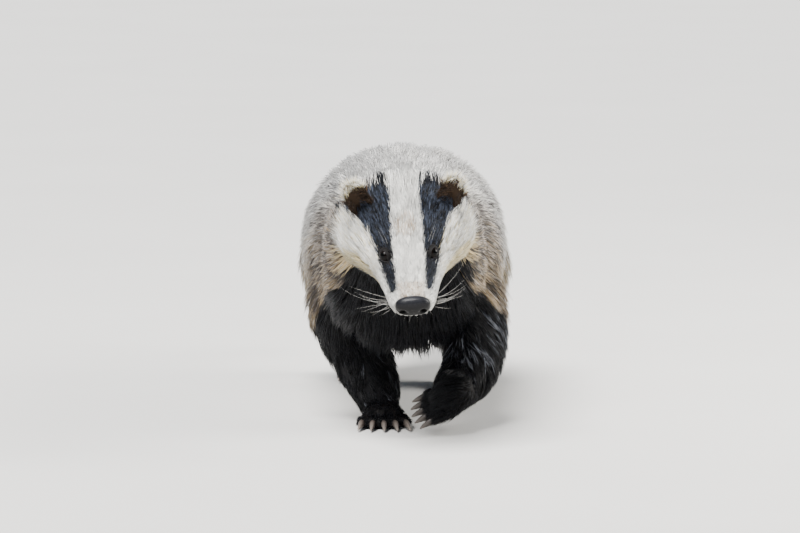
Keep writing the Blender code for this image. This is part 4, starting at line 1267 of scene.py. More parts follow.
# %% Coat of the head
LENGTH, WIDTH, LIFT, DENSITY, CLUMP = range(5)
FACE_LENGTH_AT = (0.0, 0.015, 0.04, 0.08, 0.12, 0.15)
FACE_LENGTH = (0.0030, 0.0045, 0.0080, 0.0115, 0.0150, 0.0200)
FACE_LIFT_AT = (0.0, 0.02, 0.05, 0.08, 0.11, 0.15)
FACE_LIFT = (0.0007, 0.0009, 0.0016, 0.0028, 0.0045, 0.0070)
FACE_AT = (0.0, 0.03, 0.08, 0.14)
FACE_WIDTH = (0.00036, 0.00046, 0.00066, 0.00095)
FACE_DENSITY = (560000, 380000, 190000, 95000)

back, side_x = local[:, 1], np.abs(local[:, 0])
angle, _ = section_angle(local)
coat = np.zeros((len(points), 5))


def set_coat(chosen, length, width, lift, density, clump):
    """Writes the coat's values where chosen is true; each may be a number or an array."""
    for column, value in enumerate((length, width, lift, density, clump)):
        coat[chosen, column] = value[chosen] if isinstance(value, np.ndarray) else value


cheek = np.clip((side_x - 0.030) / 0.030, 0, 1) * np.clip((back - 0.060) / 0.05, 0, 1)
is_head = region_names == "head"
set_coat(
    is_head,
    np.interp(back, FACE_LENGTH_AT, FACE_LENGTH) + 0.012 * cheek,
    np.interp(back, FACE_AT, FACE_WIDTH),
    np.interp(back, FACE_LIFT_AT, FACE_LIFT) + 0.0035 * cheek,
    np.interp(back, FACE_AT, FACE_DENSITY),
    0.35,
)
behind_ear = is_head & (np.abs(side_x - 0.038) < 0.016) & (back > 0.120) & (local[:, 2] > 0.012)
coat[behind_ear, DENSITY] *= 1.8
low_face = is_head & (angle < -20) & (back > 0.05)
coat[low_face, LENGTH] *= 1.3
print("head: up to", int(coat[is_head, DENSITY].max()), "tufts on a square metre")

# %% Coat of neck, trunk and tail
above_floor = points[:, 2]
towards_back = np.clip((above_floor - 0.09) / 0.08, 0, 1)
fringe = np.exp(-(((above_floor - 0.110) / 0.022) ** 2))
trunk_length = 0.048 + 0.014 * towards_back + 0.014 * fringe
set_coat(region_names == "neck", 0.038, 0.0015, 0.0105, 37000, 0.45)
set_coat(region_names == "trunk", trunk_length, 0.0018, 0.0050 + 0.0075 * towards_back, 18200, 0.5)
set_coat(region_names == "tail", 0.066, 0.0018, 0.0150, 42000, 0.5)
print("trunk hair up to", round(1000 * trunk_length.max()), "mm long")

# %% Coat of legs, paws and ears
LEG_AT = (0.02, 0.06, 0.12, 0.16)
LEG_LENGTH, LEG_LIFT = (0.0100, 0.018, 0.028, 0.036), (0.0026, 0.0040, 0.0055, 0.0080)
LEG_WIDTH, LEG_DENSITY = (0.00085, 0.0012, 0.0015), (62000, 34000, 20000)
SOLE_HEIGHT, SOLE_FACES_DOWN = 0.0058, -0.72

for leg in LEGS:
    set_coat(
        region_names == leg,
        np.interp(above_floor, LEG_AT, LEG_LENGTH),
        np.interp(above_floor, LEG_AT[:3], LEG_WIDTH),
        np.interp(above_floor, LEG_AT, LEG_LIFT),
        np.interp(above_floor, LEG_AT[:3], LEG_DENSITY),
        0.5,
    )
    centre, _, _, up, kind = paw_axes(leg)
    furred = ((points - centre) @ up > SOLE_HEIGHT) | (normals @ up > SOLE_FACES_DOWN)
    longer = 1.5 if kind == "lifted" else 1.0
    paw_density = np.where(furred, 130000, 0)
    set_coat(region_names == "paw_" + leg, 0.0105 * longer, 0.00080, 0.0028 * longer, paw_density, 0.35)
lifted_limb = np.isin(region_names, ("foreleg_L", "paw_foreleg_L"))
wrist = lifted_limb & (points[:, 1] < -0.200) & (above_floor < 0.085)
coat[wrist, DENSITY] *= 1.5
is_ear = np.char.startswith(region_names, "ear")
set_coat(is_ear, 0.0080, 0.00055, 0.0022, 300000, 0.2)
coat[:, :3] = relaxed(coat[:, :3], skin_edges, 12, 0.6)
on_limb = np.char.find(region_names, "leg_") > 0
coat[on_limb, :3] = relaxed(coat[:, :3], skin_edges, 50, 0.6)[on_limb]
print("hair length from", coat[:, LENGTH].min().round(4), "to", coat[:, LENGTH].max().round(4), "m")

# %% [markdown]
# ## Bare places
# No hair grows on the nose pad, between the lids, inside the cup of the ear, on
# the line of the mouth or under the feet. It is simplest to set the number of
# tufts to none there, before any root is chosen.

# %% Bare places
LIDS_BARE_TO = 1.22
LIP_BARE = 0.0015
SOLES_BARE_TO = 0.0035

bare = np.linalg.norm((local - PAD_CENTRE) / (PAD_HALF + 0.0004), axis=1) < 0.97
for hand in (1, -1):
    bare |= eye_reach(points, hand)[0] < LIDS_BARE_TO
    ear_local = (points - on_head(mirrored(EAR_BASE, hand))[0]) @ ear_axes(hand)
    narrow = np.abs(ear_local[:, 0]) < EAR_HALF_WIDTH * 0.62
    inside = is_ear & narrow & (ear_local[:, 2] < EAR_HEIGHT * 0.72) & (ear_local[:, 1] < 0.0098)
    faces_front = normals @ ear_axes(hand)[:, 1] < -0.2
    bare |= inside & faces_front & (np.sign(local[:, 0]) == hand)
bare |= (np.abs(mouth_away) < LIP_BARE) & (mouth_window > 0.5)
bare |= above_floor < SOLES_BARE_TO
coat[bare, DENSITY] = 0
print("bare points:", int(bare.sum()))

# %% [markdown]
# ## Tufts that follow the lie
# Hair grows in tufts. We choose a root for each tuft, at random but more of them
# where the coat is dense, and walk from it over the skin along the lie. The hairs
# of the tuft share that walk, a little apart at the root and closer at the tip.
# A hair is a closed, thin blade with three sides: exported hair curves would be
# lost, and a solid blade catches light as a lock of real hair does.

# %% The skin as triangles
skin.data.calc_loop_triangles()
loops = np.zeros(len(skin.data.loop_triangles) * 3, np.int32)
skin.data.loop_triangles.foreach_get("vertices", loops)
triangles = loops.reshape(-1, 3)
corner = points[triangles]
area = np.linalg.norm(np.cross(corner[:, 1] - corner[:, 0], corner[:, 2] - corner[:, 0]), axis=1) / 2
surface = BVHTree.FromPolygons([tuple(p) for p in points], [tuple(t) for t in triangles.tolist()])
print("skin of", round(area.sum(), 3), "square metres in", len(triangles), "triangles")


# %% Choose the roots
def choose_roots(weights, random):
    """Random triangles and places in them, as many as the weights ask for."""
    total = weights.sum()
    count = int(total)
    running = np.cumsum(weights)
    picked = np.searchsorted(running, random.random(count) * total)
    u, v = random.random(count), random.random(count)
    flip = u + v > 1
    u[flip], v[flip] = 1 - u[flip], 1 - v[flip]
    return picked, np.stack([1 - u - v, u, v], axis=1)


def spread(values, picked, shares):
    """Values of the skin's points read at places in its triangles."""
    return (values[triangles[picked]] * shares[:, :, None]).sum(axis=1)


weights = area * coat[triangles, DENSITY].mean(axis=1)
picked, root_shares = choose_roots(weights, rng)
root_points = spread(points, picked, root_shares)
root_lie = unit(spread(lie, picked, root_shares) + rng.normal(0, 0.10, (len(picked), 3)))
root_coat = spread(coat, picked, root_shares)
root_region = region[triangles[picked][:, 0]]
root_place = place[triangles[picked][:, 0]]
print("tufts:", len(picked))

# %% Walk over the skin
WALK_STEPS = 6
KEEP_WAY, TURN_TO_LIE = 0.55, 0.45


def walk_paths(roots, directions, lengths):
    """Points and normals along the skin from each root, following the lie."""
    count = len(roots)
    path = np.zeros((count, WALK_STEPS + 1, 3))
    ups = np.zeros((count, WALK_STEPS + 1, 3))
    for i in range(count):
        here = Vector(roots[i])
        way = Vector(directions[i])
        step = lengths[i] / WALK_STEPS
        for k in range(WALK_STEPS + 1):
            near, normal, face, _ = surface.find_nearest(here)
            path[i, k] = near
            ups[i, k] = normal
            turn = Vector(lie[triangles[face][0]])
            way = way * KEEP_WAY + turn * TURN_TO_LIE
            way = (way - normal * way.dot(normal)).normalized()
            here = near + way * step
    return path, ups


path, ups = walk_paths(root_points, root_lie, root_coat[:, LENGTH])
for _ in range(2):
    ups[:, 1:-1] = (ups[:, :-2] + 2 * ups[:, 1:-1] + ups[:, 2:]) / 4
ups = unit(ups)
print("walked", len(path), "paths in", WALK_STEPS, "steps each")

# %% [markdown]
# ## Locks gathered from tufts
# Seen from a step away, a badger's long coat parts into shaggy locks with darker
# gaps between them. We pick some tufts as leaders and let the others bend towards
# the nearest leader on their way to the tip. The leader also gives a common tone
# to its lock, so that the grey is broken up in streaks, as on the real animal.
# Before that, tips leave the skin where the body turns away under them, as along
# the belly, where the flank hair hangs down in a fringe.

# %% Tips that leave the skin
root_names = np.array(REGIONS)[root_region]
low_body = np.clip((0.130 - root_points[:, 2]) / 0.03, 0, 1)
free = np.where(np.isin(root_names, ("trunk", "neck")), 0.15 + 0.62 * low_body, 0.0)
free[np.char.find(root_names, "leg_") > 0] = 0.30
free[root_names == "foreleg_L"] = 0.55
first_step = path[:, 2] - path[:, 1]
straight = path[:, 2:3] + first_step[:, None] * np.arange(WALK_STEPS - 1)[None, :, None]
leave = np.linspace(0, 1, WALK_STEPS - 1) ** 0.7
path[:, 2:] += (straight - path[:, 2:]) * (free[:, None] * leave[None])[:, :, None]
print("tufts whose tips leave the skin:", int((free > 0).sum()))

# %% Bend the tufts together
LEADER_SHARE = 0.11
BEND = {"trunk": 0.46, "neck": 0.42, "tail": 0.50, "head": 0.30}
LEG_BEND = 0.40
LEADER_WITHIN = 0.030

leaders = np.nonzero(rng.random(len(picked)) < LEADER_SHARE)[0]
leader_tree = KDTree(len(leaders))
for i, number in enumerate(leaders):
    leader_tree.insert(root_points[number], i)
leader_tree.balance()
led_by = leaders[[leader_tree.find(p)[1] for p in root_points]]
bend = np.array([BEND.get(name, 0.0) for name in root_names])
bend[np.char.find(root_names, "leg_") > 0] = LEG_BEND
bend[np.char.startswith(root_names, "paw")] = 0.0
bend *= np.linalg.norm(root_points[led_by] - root_points, axis=1) < LEADER_WITHIN
bend *= (ups[led_by, 0] * ups[:, 0]).sum(axis=1) > 0.3
towards_tip = np.linspace(0, 1, WALK_STEPS + 1) ** 1.4
path += (path[led_by] - path) * bend[:, None, None] * towards_tip[None, :, None]
lock_tone = rng.normal(0, 1, len(picked))[led_by]
tuft_glint = rng.random(len(picked))
tuft_tone = 0.75 * lock_tone + 0.45 * rng.normal(0, 1, len(picked))
print("locks:", len(leaders))

# %% [markdown]
# ## Hairs of a tuft
# Each hair leaves the skin a little beside the tuft's own path, stands up to its
# lift, curls a little, and closes with the others towards the tip. Its root sinks
# into the skin, so that no gap shows. Three points make one ring of a blade, and
# one point closes it.


# %% Hairs of each tuft
BLADE_TAPER, BLADE_CREST = 0.55, 0.55


def read_path(values, at):
    """Values along paths read at places from 0 to 1."""
    f = at * WALK_STEPS
    i = np.minimum(f.astype(int), WALK_STEPS - 1)
    rest = (f - i)[:, None]
    rows = np.arange(len(values))
    return values[rows, i] * (1 - rest) + values[rows, i + 1] * rest


def make_hairs(tufts, per_tuft, rings, random):
    """Each hair's tuft and blade points, and how far along the hair each point is."""
    tuft = np.repeat(tufts, per_tuft)
    count = len(tuft)
    values = root_coat[tuft]
    density = values[:, DENSITY]
    spread_radius = 0.55 / np.sqrt(np.maximum(density, 0.5 * np.median(density)))
    across = random.normal(0, 0.75, count) * spread_radius
    ahead = random.normal(0, 0.75, count) * spread_radius
    size = random.uniform(0.68, 1.12, count)
    lift = values[:, LIFT] * random.uniform(0.45, 1.10, count)
    curl = random.normal(0, 0.06, count) * values[:, LENGTH]
    roll = random.uniform(-0.7, 0.7, count)
    gather = values[:, CLUMP] * random.uniform(0.6, 1.3, count)
    sunk = np.minimum(0.0010, 0.28 * values[:, LIFT])
    blades, alongs = [], []
    for t in rings:
        at = np.clip(t * size, 0, 1)
        middle, up = read_path(path[tuft], at), unit(read_path(ups[tuft], at))
        further = read_path(path[tuft], np.minimum(at + 0.1, 1))
        along = unit(further - read_path(path[tuft], np.maximum(at - 0.1, 0)))
        side = unit(np.cross(along, up))
        height = -sunk + (lift + sunk) * t**0.8
        beside = across * (1 - gather * t) + curl * t * t
        forward = ahead * (1 - gather * t)
        middle = middle + up * height[:, None] + side * beside[:, None] + along * forward[:, None]
        tilt = side * np.cos(roll)[:, None] + up * np.sin(roll)[:, None]
        over = unit(np.cross(tilt, along))
        over = over * np.sign((over * up).sum(axis=1, keepdims=True) + 1e-9)
        if t < 1:
            wide = values[:, WIDTH] / 2 * (1.0 - t) ** BLADE_TAPER
            edge, crest = tilt * wide[:, None], over * (wide * BLADE_CREST)[:, None]
            blades.append(np.stack([middle + edge, middle - edge, middle + crest], axis=1))
            alongs += [t] * 3
        else:
            blades.append(middle[:, None])
            alongs.append(1.0)
    return tuft, np.concatenate(blades, axis=1), np.array(alongs)


# %% Faces of a blade
def blade_faces(layers):
    """Triangles of one blade: its sides, its tip and the closed root."""
    faces = [(0, 2, 1)]
    for a in range(layers - 1):
        for k in range(3):
            n = (k + 1) % 3
            p, q, r, s = a * 3 + k, a * 3 + n, a * 3 + 3 + n, a * 3 + 3 + k
            faces += [(p, q, r), (p, r, s)]
    tip = layers * 3
    last = (layers - 1) * 3
    faces += [(last, last + 1, tip), (last + 1, last + 2, tip), (last + 2, last, tip)]
    return np.array(faces)


print("a long blade has", len(blade_faces(3)), "triangles, and a short one", len(blade_faces(2)))

# %% [markdown]
# ## The coat's finish
# A guard hair of a badger's back is pale at its root, has a dark band and ends in a
# white tip. That is what makes the coat look grey. The material reads from a stored
# value how far along the hair it is, and paints the band there. A second value says
# how strong the band is: strong on the flanks and the ruff, faint along the spine,
# where the skin faces up. There the grey is also painted lighter: with the faint band,
# a painted highlight of the daylight on the back. Every hair is painted darker towards
# its root as painted shade deep in the coat; white and black hairs otherwise have one
# colour.

# %% Coat materials
def coat_material(name, roughness, specular, sheen, tint):
    """Hair with its own colour, a dark band and a pale tip, and a soft sheen."""
    made, tree, shader = new_material(name, roughness, specular)
    shader.inputs["Sheen Weight"].default_value = sheen
    shader.inputs["Sheen Roughness"].default_value = 0.45
    shader.inputs["Sheen Tint"].default_value = (*tint, 1)
    pelt = add_node(tree, "ShaderNodeAttribute", attribute_name="pelt")
    lie_along = add_node(tree, "ShaderNodeAttribute", attribute_name="along")
    grizzle = add_node(tree, "ShaderNodeAttribute", attribute_name="grizzle")
    # painted shade: every hair is painted darker towards its root, where the coat shades it
    root = ramp(tree, lie_along.outputs["Fac"], ((0.0, 0.50), (0.35, 1.0)))
    own = mix_colours(tree, 1.0, pelt.outputs["Color"], root, "MULTIPLY")
    band = ramp(tree, lie_along.outputs["Fac"], ((0.22, 0.0), (0.46, 1.0), (0.62, 1.0), (0.80, 0.0)))
    amount = mix_colours(tree, 1.0, band, grizzle.outputs["Color"], "MULTIPLY")
    dark = mix_colours(tree, amount, own, (0.042, 0.032, 0.026))
    tip = ramp(tree, lie_along.outputs["Fac"], ((0.66, 0.0), (0.86, 1.0)))
    tip_amount = mix_colours(tree, 1.0, tip, grizzle.outputs["Color"], "MULTIPLY")
    bright = mix_colours(tree, 1.0, own, (1.62, 1.61, 1.60), "MULTIPLY")
    ended = mix_colours(tree, tip_amount, dark, bright)
    mottle = add_node(tree, "ShaderNodeTexNoise", Scale=28.0, Detail=3.0)
    patch = ramp(tree, mottle.outputs["Fac"], ((0.3, 0.86), (0.7, 1.0)))
    final = mix_colours(tree, 1.0, ended, patch, "MULTIPLY")
    tree.links.new(final, shader.inputs["Base Color"])
    fine = add_node(tree, "ShaderNodeTexNoise", Scale=900.0, Detail=2.0)
    add_bump(tree, shader, fine.outputs["Fac"], 0.15, 0.0002)
    return made


FUR = {
    "pale": coat_material("fur_pale", 0.62, 0.35, 0.10, (1.0, 0.98, 0.94)),
    "dark": coat_material("fur_dark", 0.42, 0.17, 0.02, (0.70, 0.80, 1.0)),
    "grey": coat_material("fur_grey", 0.58, 0.40, 0.10, (0.95, 0.97, 1.0)),
}
print("finishes of the coat:", list(FUR))

# %% [markdown]
# ## Coat pieces
# Blades that grow in one part of the body are joined in one mesh. When the part is
# dressed elsewhere, its colours are baked to an image, so each blade also gets a
# small patch of its own in a flat map of the skin: how far round the part the root
# lies, and how far along it.

# %% Build one coat piece
MAP_PATCH = 0.003


def coat_piece(name, finish, blades, faces_of_one, shares, colours, grizzle, places):
    """One mesh of many blades, with its colours, along values and map."""
    count, per_blade = blades.shape[:2]
    faces = (faces_of_one[None] + (np.arange(count) * per_blade)[:, None, None]).reshape(-1, 3)
    data = bpy.data.meshes.new(name)
    data.vertices.add(count * per_blade)
    data.vertices.foreach_set("co", (blades.reshape(-1, 3) + SHIFT).astype(np.float32).ravel())
    data.loops.add(len(faces) * 3)
    data.loops.foreach_set("vertex_index", faces.astype(np.int32).ravel())
    data.polygons.add(len(faces))
    data.polygons.foreach_set("loop_start", np.arange(0, len(faces) * 3, 3, dtype=np.int32))
    data.update(calc_edges=True)
    set_colours(data, "pelt", np.repeat(colours, per_blade, axis=0))
    for key, values in (("along", np.tile(shares, count)), ("grizzle", np.repeat(grizzle, per_blade))):
        layer = data.attributes.new(key, "FLOAT", "POINT")
        layer.data.foreach_set("value", values.astype(np.float32))
    corner_across = np.array([0.0, 1.0, 0.5])[np.arange(per_blade) % 3]
    flat = np.stack([np.tile(corner_across, count), np.tile(shares, count)], axis=1) * MAP_PATCH
    flat += np.repeat(places * (1 - 2 * MAP_PATCH) + MAP_PATCH / 2, per_blade, axis=0)
    uv = data.uv_layers.new(name="OFBake")
    uv.data.foreach_set("uv", flat[faces.ravel()].astype(np.float32).ravel())
    data.shade_smooth()
    data.materials.append(FUR[finish])
    made = bpy.data.objects.new(name, data)
    bpy.context.scene.collection.objects.link(made)
    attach(made, "root")
    print(name, len(faces), "triangles")


print("each hair gets", MAP_PATCH, "of the map")

# %% [markdown]
# ## Grow the coat
# The muzzle has short straight spikes, the face short hairs, and the body long
# ones with more rings, because they bend more. Hairs that fold back, touch the
# floor or reach over the nose pad are left out. The lifted forearm turns to the
# light, so some of its black tufts are painted silver grey as painted highlights;
# a few on the other legs too. One mesh for the whole coat would be too large to
# handle, so each group makes pieces of its own.

# %% Groups of tufts
LONG_RINGS = (0.0, 0.30, 0.65, 1.0)
SHORT_RINGS = (0.0, 0.50, 1.0)
SPIKE_RINGS = (0.0, 1.0)
MUZZLE_BACK = 0.062

on_face = np.isin(root_names, ("head", "ear_L", "ear_R"))
on_muzzle = on_face & (to_head(root_points)[:, 1] < MUZZLE_BACK)
on_paws = np.char.startswith(root_names, "paw")
on_legs = (np.char.find(root_names, "leg_") > 0) & ~on_paws
GROUPS = (
    ("muzzle", on_muzzle, 15, SPIKE_RINGS),
    ("face", on_face & ~on_muzzle, 6, SHORT_RINGS),
    ("neck", root_names == "neck", 6, LONG_RINGS),
    ("trunk", root_names == "trunk", 6, LONG_RINGS),
    ("tail", root_names == "tail", 5, LONG_RINGS),
    ("legs", on_legs, 6, LONG_RINGS),
    ("paws", on_paws, 4, SHORT_RINGS),
)
print("tufts of each group:", {row[0]: int(row[1].sum()) for row in GROUPS})

# %% Hairs that are kept, and their places on the map
ABOVE_FLOOR = 0.0006
BEHIND_NOSE = 0.0015
STRAIGHT_ENOUGH = 0.80


def kept_hairs(blades):
    """True for hairs that are clear of floor and nose and don't fold back."""
    clear = blades[:, :, 2].min(axis=1) > ABOVE_FLOOR
    clear &= to_head(blades[:, -1])[:, 1] > BEHIND_NOSE
    line = blades[:, ::3]
    arc = np.linalg.norm(np.diff(line, axis=1), axis=2).sum(axis=1)
    return clear & (np.linalg.norm(line[:, -1] - line[:, 0], axis=1) > STRAIGHT_ENOUGH * arc)


def map_places(tuft, group):
    """Places on a flat map of the skin: each region of the group gets a strip."""
    members = sorted(set(root_region[group]))
    strip = np.searchsorted(members, root_region[tuft])
    across = (strip + np.clip(root_place[tuft, 0], 0, 1) * 0.98) / len(members)
    jitter = root_shares[tuft, :2] * 0.02
    return np.clip(np.stack([across, root_place[tuft, 1] * 0.97], axis=1) + jitter, 0, 1)


# %% Colours of the hairs
GLINT_HEIGHTS = (0.066, 0.080, 0.112, 0.122)
GLINT_SHARES = (0.02, 0.46, 0.46, 0.02)
RUFF_LOSS = (0.24, 0.31, 0.38)


def hair_marks(title, tuft, blades):
    """Each hair's colour number, read halfway from its root to its tip."""
    roots = blades[:, 0]
    marks = markings((roots + blades[:, -1]) / 2, root_region[tuft], rng)
    # painted highlight: some black leg hairs are painted silver grey, most on the lifted forearm, as glints
    # of light
    if title == "legs":
        lifted_share = np.interp(roots[:, 2], GLINT_HEIGHTS, GLINT_SHARES)
        glint_share = np.where(root_names[tuft] == "foreleg_L", lifted_share, GLINT_SHARES[0])
        glinting = (tuft_glint[tuft] < glint_share) & (rng.random(len(tuft)) < 0.55)
        marks[glinting & (marks == BLACK)] = PAINTED_GLINT
    return marks


def hair_colours(marks, tuft, roots, short):
    """Each hair's colour, and how strong its dark band is."""
    dark = np.isin(marks, DARK)
    topness = np.clip((ups[tuft, 0, 2] - 0.55) / 0.40, 0, 1)
    ruff = np.clip((-0.05 - roots[:, 1]) / 0.10, 0, 1) * (1 - topness) * (not short)
    tone = np.clip(1 + (0.15 if short else 0.18 + 0.27 * ruff) * tuft_tone[tuft], 0.40, 1.4)
    colours = COLOURS[marks] * (rng.uniform(0.58, 1.12, len(marks)) * tone)[:, None]
    # painted highlight: where the skin faces up, grey hairs are painted lighter, as the daylight on the top
    # of the back
    colours *= np.where(marks == GREY, 1 + 0.72 * topness, 1)[:, None]
    colours[~dark] *= 1 - np.outer(ruff[~dark], RUFF_LOSS)
    grizzle = rng.uniform(0.60, 1.05, len(marks)) - 0.36 * tuft_tone[tuft]
    # the band also fades where the skin faces up, part of the painted highlight on the back
    grizzle = np.where(marks == BUFF, grizzle * 0.8, grizzle * (1 - 0.70 * topness)) + 0.25 * ruff
    plain = short | ~np.isin(marks, (GREY, BUFF))
    return colours, np.where(plain, 0.0, np.clip(grizzle, 0, 1))


# %% Grow the whole coat
PIECE_LIMIT = 185000


def grow(title, group, per_tuft, rings):
    """Makes the hairs of one group and joins them in pieces of a handy size."""
    tuft, blades, alongs = make_hairs(np.nonzero(group)[0], per_tuft, rings, rng)
    clear = kept_hairs(blades)
    tuft, blades = tuft[clear], blades[clear]
    marks = hair_marks(title, tuft, blades)
    dark, short = np.isin(marks, DARK), title in ("muzzle", "face")
    colours, grizzle = hair_colours(marks, tuft, blades[:, 0], short)
    places = map_places(tuft, group)
    faces_of_one = blade_faces(len(rings) - 1)
    light = "white" if short else "grey"
    kinds = (
        ("pale", ~dark, "pale" if short else "grey", "coat_" + light),
        ("dark", dark, "dark", "coat_black"),
    )
    for shade_name, chosen, finish, own_slot in kinds:
        numbers = np.nonzero(chosen)[0]
        if not len(numbers):
            continue
        numbers = numbers[np.argsort(blades[numbers, 0, 1])]
        parts = int(np.ceil(len(numbers) * len(faces_of_one) / PIECE_LIMIT))
        for k, mine in enumerate(np.array_split(numbers, parts)):
            coat_piece(
                f"coat_{title}_{shade_name}_{k + 1}", finish, blades[mine], faces_of_one,
                alongs, colours[mine], grizzle[mine], places[mine],
            )


for row in GROUPS:
    grow(*row)

# %% [markdown]
# ## Ear fringes
# The ears carry their own long hairs: a pale brush on the upper rim, and brown
# hairs that lean across the cup from its inner edge. They don't lie on the skin,
# so each is drawn from its root, a direction and a bend.


# %% Hairs drawn by direction
FRINGE_HAIRS, FRINGE_WIDTH = 760, 0.00055
FRINGE_RINGS = (0.0, 0.45, 1.0)
FRINGE_ALONG = np.array([0.0] * 3 + [0.45] * 3 + [1.0])


def free_hairs(roots, ways, falls, lengths, widths, rings):
    """Blades that leave their roots along a way and bend by a fall."""
    blades = []
    for t in rings:
        middle = roots + ways * (lengths * t)[:, None] + falls * (lengths * t * t)[:, None]
        along = unit(ways + 2 * falls * t)
        side = unit(np.cross(along, HEAD_AXES[:, 1] + 0.3 * HEAD_AXES[:, 0]))
        over = np.cross(side, along)
        wide = (widths / 2 * (1 - t) ** BLADE_TAPER)[:, None]
        if t < 1:
            crest = middle + over * wide * BLADE_CREST
            blades.append(np.stack([middle + side * wide, middle - side * wide, crest], axis=1))
        else:
            blades.append(middle[:, None])
    return np.concatenate(blades, axis=1)


def ear_fringe(hand):
    """Roots, directions, bends, lengths and colours of one ear's fringe."""
    axes = ear_axes(hand)
    base = on_head(mirrored(EAR_BASE, hand))[0]
    count = FRINGE_HAIRS
    rim = rng.random(count) < 0.62
    turn = np.where(rim, rng.uniform(0.05, 0.95, count), rng.uniform(-0.25, 0.42, count)) * np.pi
    out = np.where(rim, rng.uniform(0.80, 1.0, count), rng.uniform(0.55, 1.0, count))
    across = np.cos(turn) * out * EAR_HALF_WIDTH * -hand
    rise = EAR_HEIGHT * (0.44 + 0.54 * np.sin(turn) * out)
    sunk = CUP_DEPTH * (1 - (across / EAR_HALF_WIDTH) ** 2) * (1 - 0.72 * rise / EAR_HEIGHT) + 0.0012
    roots = base + across[:, None] * axes[:, 0] + rise[:, None] * axes[:, 2] + sunk[:, None] * axes[:, 1]
    side_way = np.where(rim, across / EAR_HALF_WIDTH * 0.55, hand * 0.8)
    up_way = np.where(rim, 0.85, 0.55)
    fore_way = np.where(rim, rng.uniform(-0.5, 0.35, count), rng.uniform(-0.75, -0.15, count))
    ways = np.stack([side_way, fore_way, up_way], axis=1) + rng.normal(0, 0.16, (count, 3))
    ways = unit(ways) @ axes.T
    aside, behind = rng.normal(0, 0.1, count), rng.uniform(0.0, 0.35, count)
    falls = np.stack([aside, behind, rng.normal(-0.05, 0.1, count)], axis=1) @ axes.T
    lengths = np.where(rim, rng.uniform(0.0070, 0.0115, count), rng.uniform(0.007, 0.012, count))
    pale = rim & (rise > EAR_HEIGHT * 0.62) & (rng.random(count) < 0.95)
    browns = COLOURS[EAR_BROWN] * rng.choice([0.4, 1.0, 3.4], (count, 1), p=[0.35, 0.35, 0.30])
    colours = np.where(pale[:, None], COLOURS[WHITE] * 0.9, browns)
    colours = np.where((pale & (rng.random(count) < 0.35))[:, None], COLOURS[CREAM], colours)
    places = np.stack([0.5 + 0.45 * across / EAR_HALF_WIDTH, rise / EAR_HEIGHT], axis=1)
    return roots, ways, falls, lengths, colours, np.clip(places, 0, 1), pale


for hand, side_name in ((1, "L"), (-1, "R")):
    roots, ways, falls, lengths, colours, fringe_places, pale = ear_fringe(hand)
    widths = np.full(len(roots), FRINGE_WIDTH)
    blades = free_hairs(roots, ways, falls, lengths, widths, FRINGE_RINGS)
    for finish, slot, chosen in (("pale", "coat_white", pale), ("dark", "coat_black", ~pale)):
        coat_piece(
            f"coat_ear_{side_name}_{finish}", finish, blades[chosen], blade_faces(2),
            FRINGE_ALONG, colours[chosen], np.zeros(chosen.sum()), fringe_places[chosen],
        )

# %% Put the skin in place
move_points(skin.data, points + SHIFT)
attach(skin, "root")
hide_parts("head", "neck", "torso", "tail", "ear_L", "ear_R", *LEGS)
print("skin stands at the packed animal's place")

# %% [markdown]
# ## Eyes
# A badger's eye is small and dark with a wet shine. The ball is a smooth sphere
# with a slightly raised front, so the lamps leave a small bright glint.


# %% Eyeballs
def finished_piece(name, points, faces, material, nodes):
    """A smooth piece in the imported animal's place; it may stand for some solids."""
    made = mesh_object(name, np.asarray(points) + SHIFT, faces)
    made.data.shade_smooth()
    made.data.materials.append(material)
    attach(made, "root")
    if nodes:
        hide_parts(*nodes)
    return made


def ball_shape(around, layers):
    """Unit sphere points and faces with poles on the third axis."""
    tilt = np.linspace(0, np.pi, layers + 1)[1:-1]
    turn = np.linspace(0, 2 * np.pi, around, endpoint=False)
    x, y = np.outer(np.sin(tilt), np.cos(turn)), np.outer(np.sin(tilt), np.sin(turn))
    z = np.outer(np.cos(tilt), np.ones(around))
    pts = np.concatenate([np.stack([x, y, z], axis=2).reshape(-1, 3), [[0, 0, 1.0], [0, 0, -1.0]]])
    last = layers - 2
    faces = []
    for k in range(around):
        n = (k + 1) % around
        for a in range(0, last * around, around):
            faces.append((a + k, a + around + k, a + around + n, a + n))
        faces.append((len(pts) - 2, k, n))
        faces.append((len(pts) - 1, last * around + n, last * around + k))
    return pts, faces


PUPIL, IRIS, BALL_EDGE = (0.001, 0.001, 0.001), (0.0045, 0.0024, 0.0016), (0.002, 0.0015, 0.0015)
eye_finish, tree_nodes, shader = new_material("eye_wet", 0.03, 0.10)
threads = add_node(tree_nodes, "ShaderNodeTexNoise", Scale=900.0, Detail=3.0)
colour_by_tone(tree_nodes, shader, ramp(tree_nodes, threads.outputs["Fac"], ((0.3, 0.5), (0.7, 1.0))))
for hand, name in ((1, "eye_L"), (-1, "eye_R")):
    unit_points, faces = ball_shape(48, 32)
    look, long_way, cross_way = eye_axes(hand)
    bulge = 1 + 0.05 * np.clip((unit_points[:, 2] - 0.80) / 0.20, 0, 1)
    shape = unit_points * bulge[:, None] * EYE_RADIUS
    world_points = on_head(mirrored(EYE_CENTRE, hand)) + shape @ np.stack([long_way, cross_way, look])
    ball = finished_piece("wet_" + name, world_points, faces, eye_finish, [name])
    facing = unit_points[:, 2:]
    tint = np.where(facing > 0.90, PUPIL, np.where(facing > 0.66, IRIS, BALL_EDGE))
    set_colours(ball.data, "pelt", tint)
print("two eyes of", round(2000 * EYE_RADIUS, 1), "mm")

# %% [markdown]
# ## Eyelids
# The lids are two soft dark folds that lie on the ball. Their edge is what gives an
# eye its look, so each pair is a smooth ring of its own: it starts on the ball,
# rolls over a thin rim and runs out under the fur. The corner towards the nose is
# drawn out to a small point, where the tear duct is.


# %% Lid rings
LID_AROUND = 96
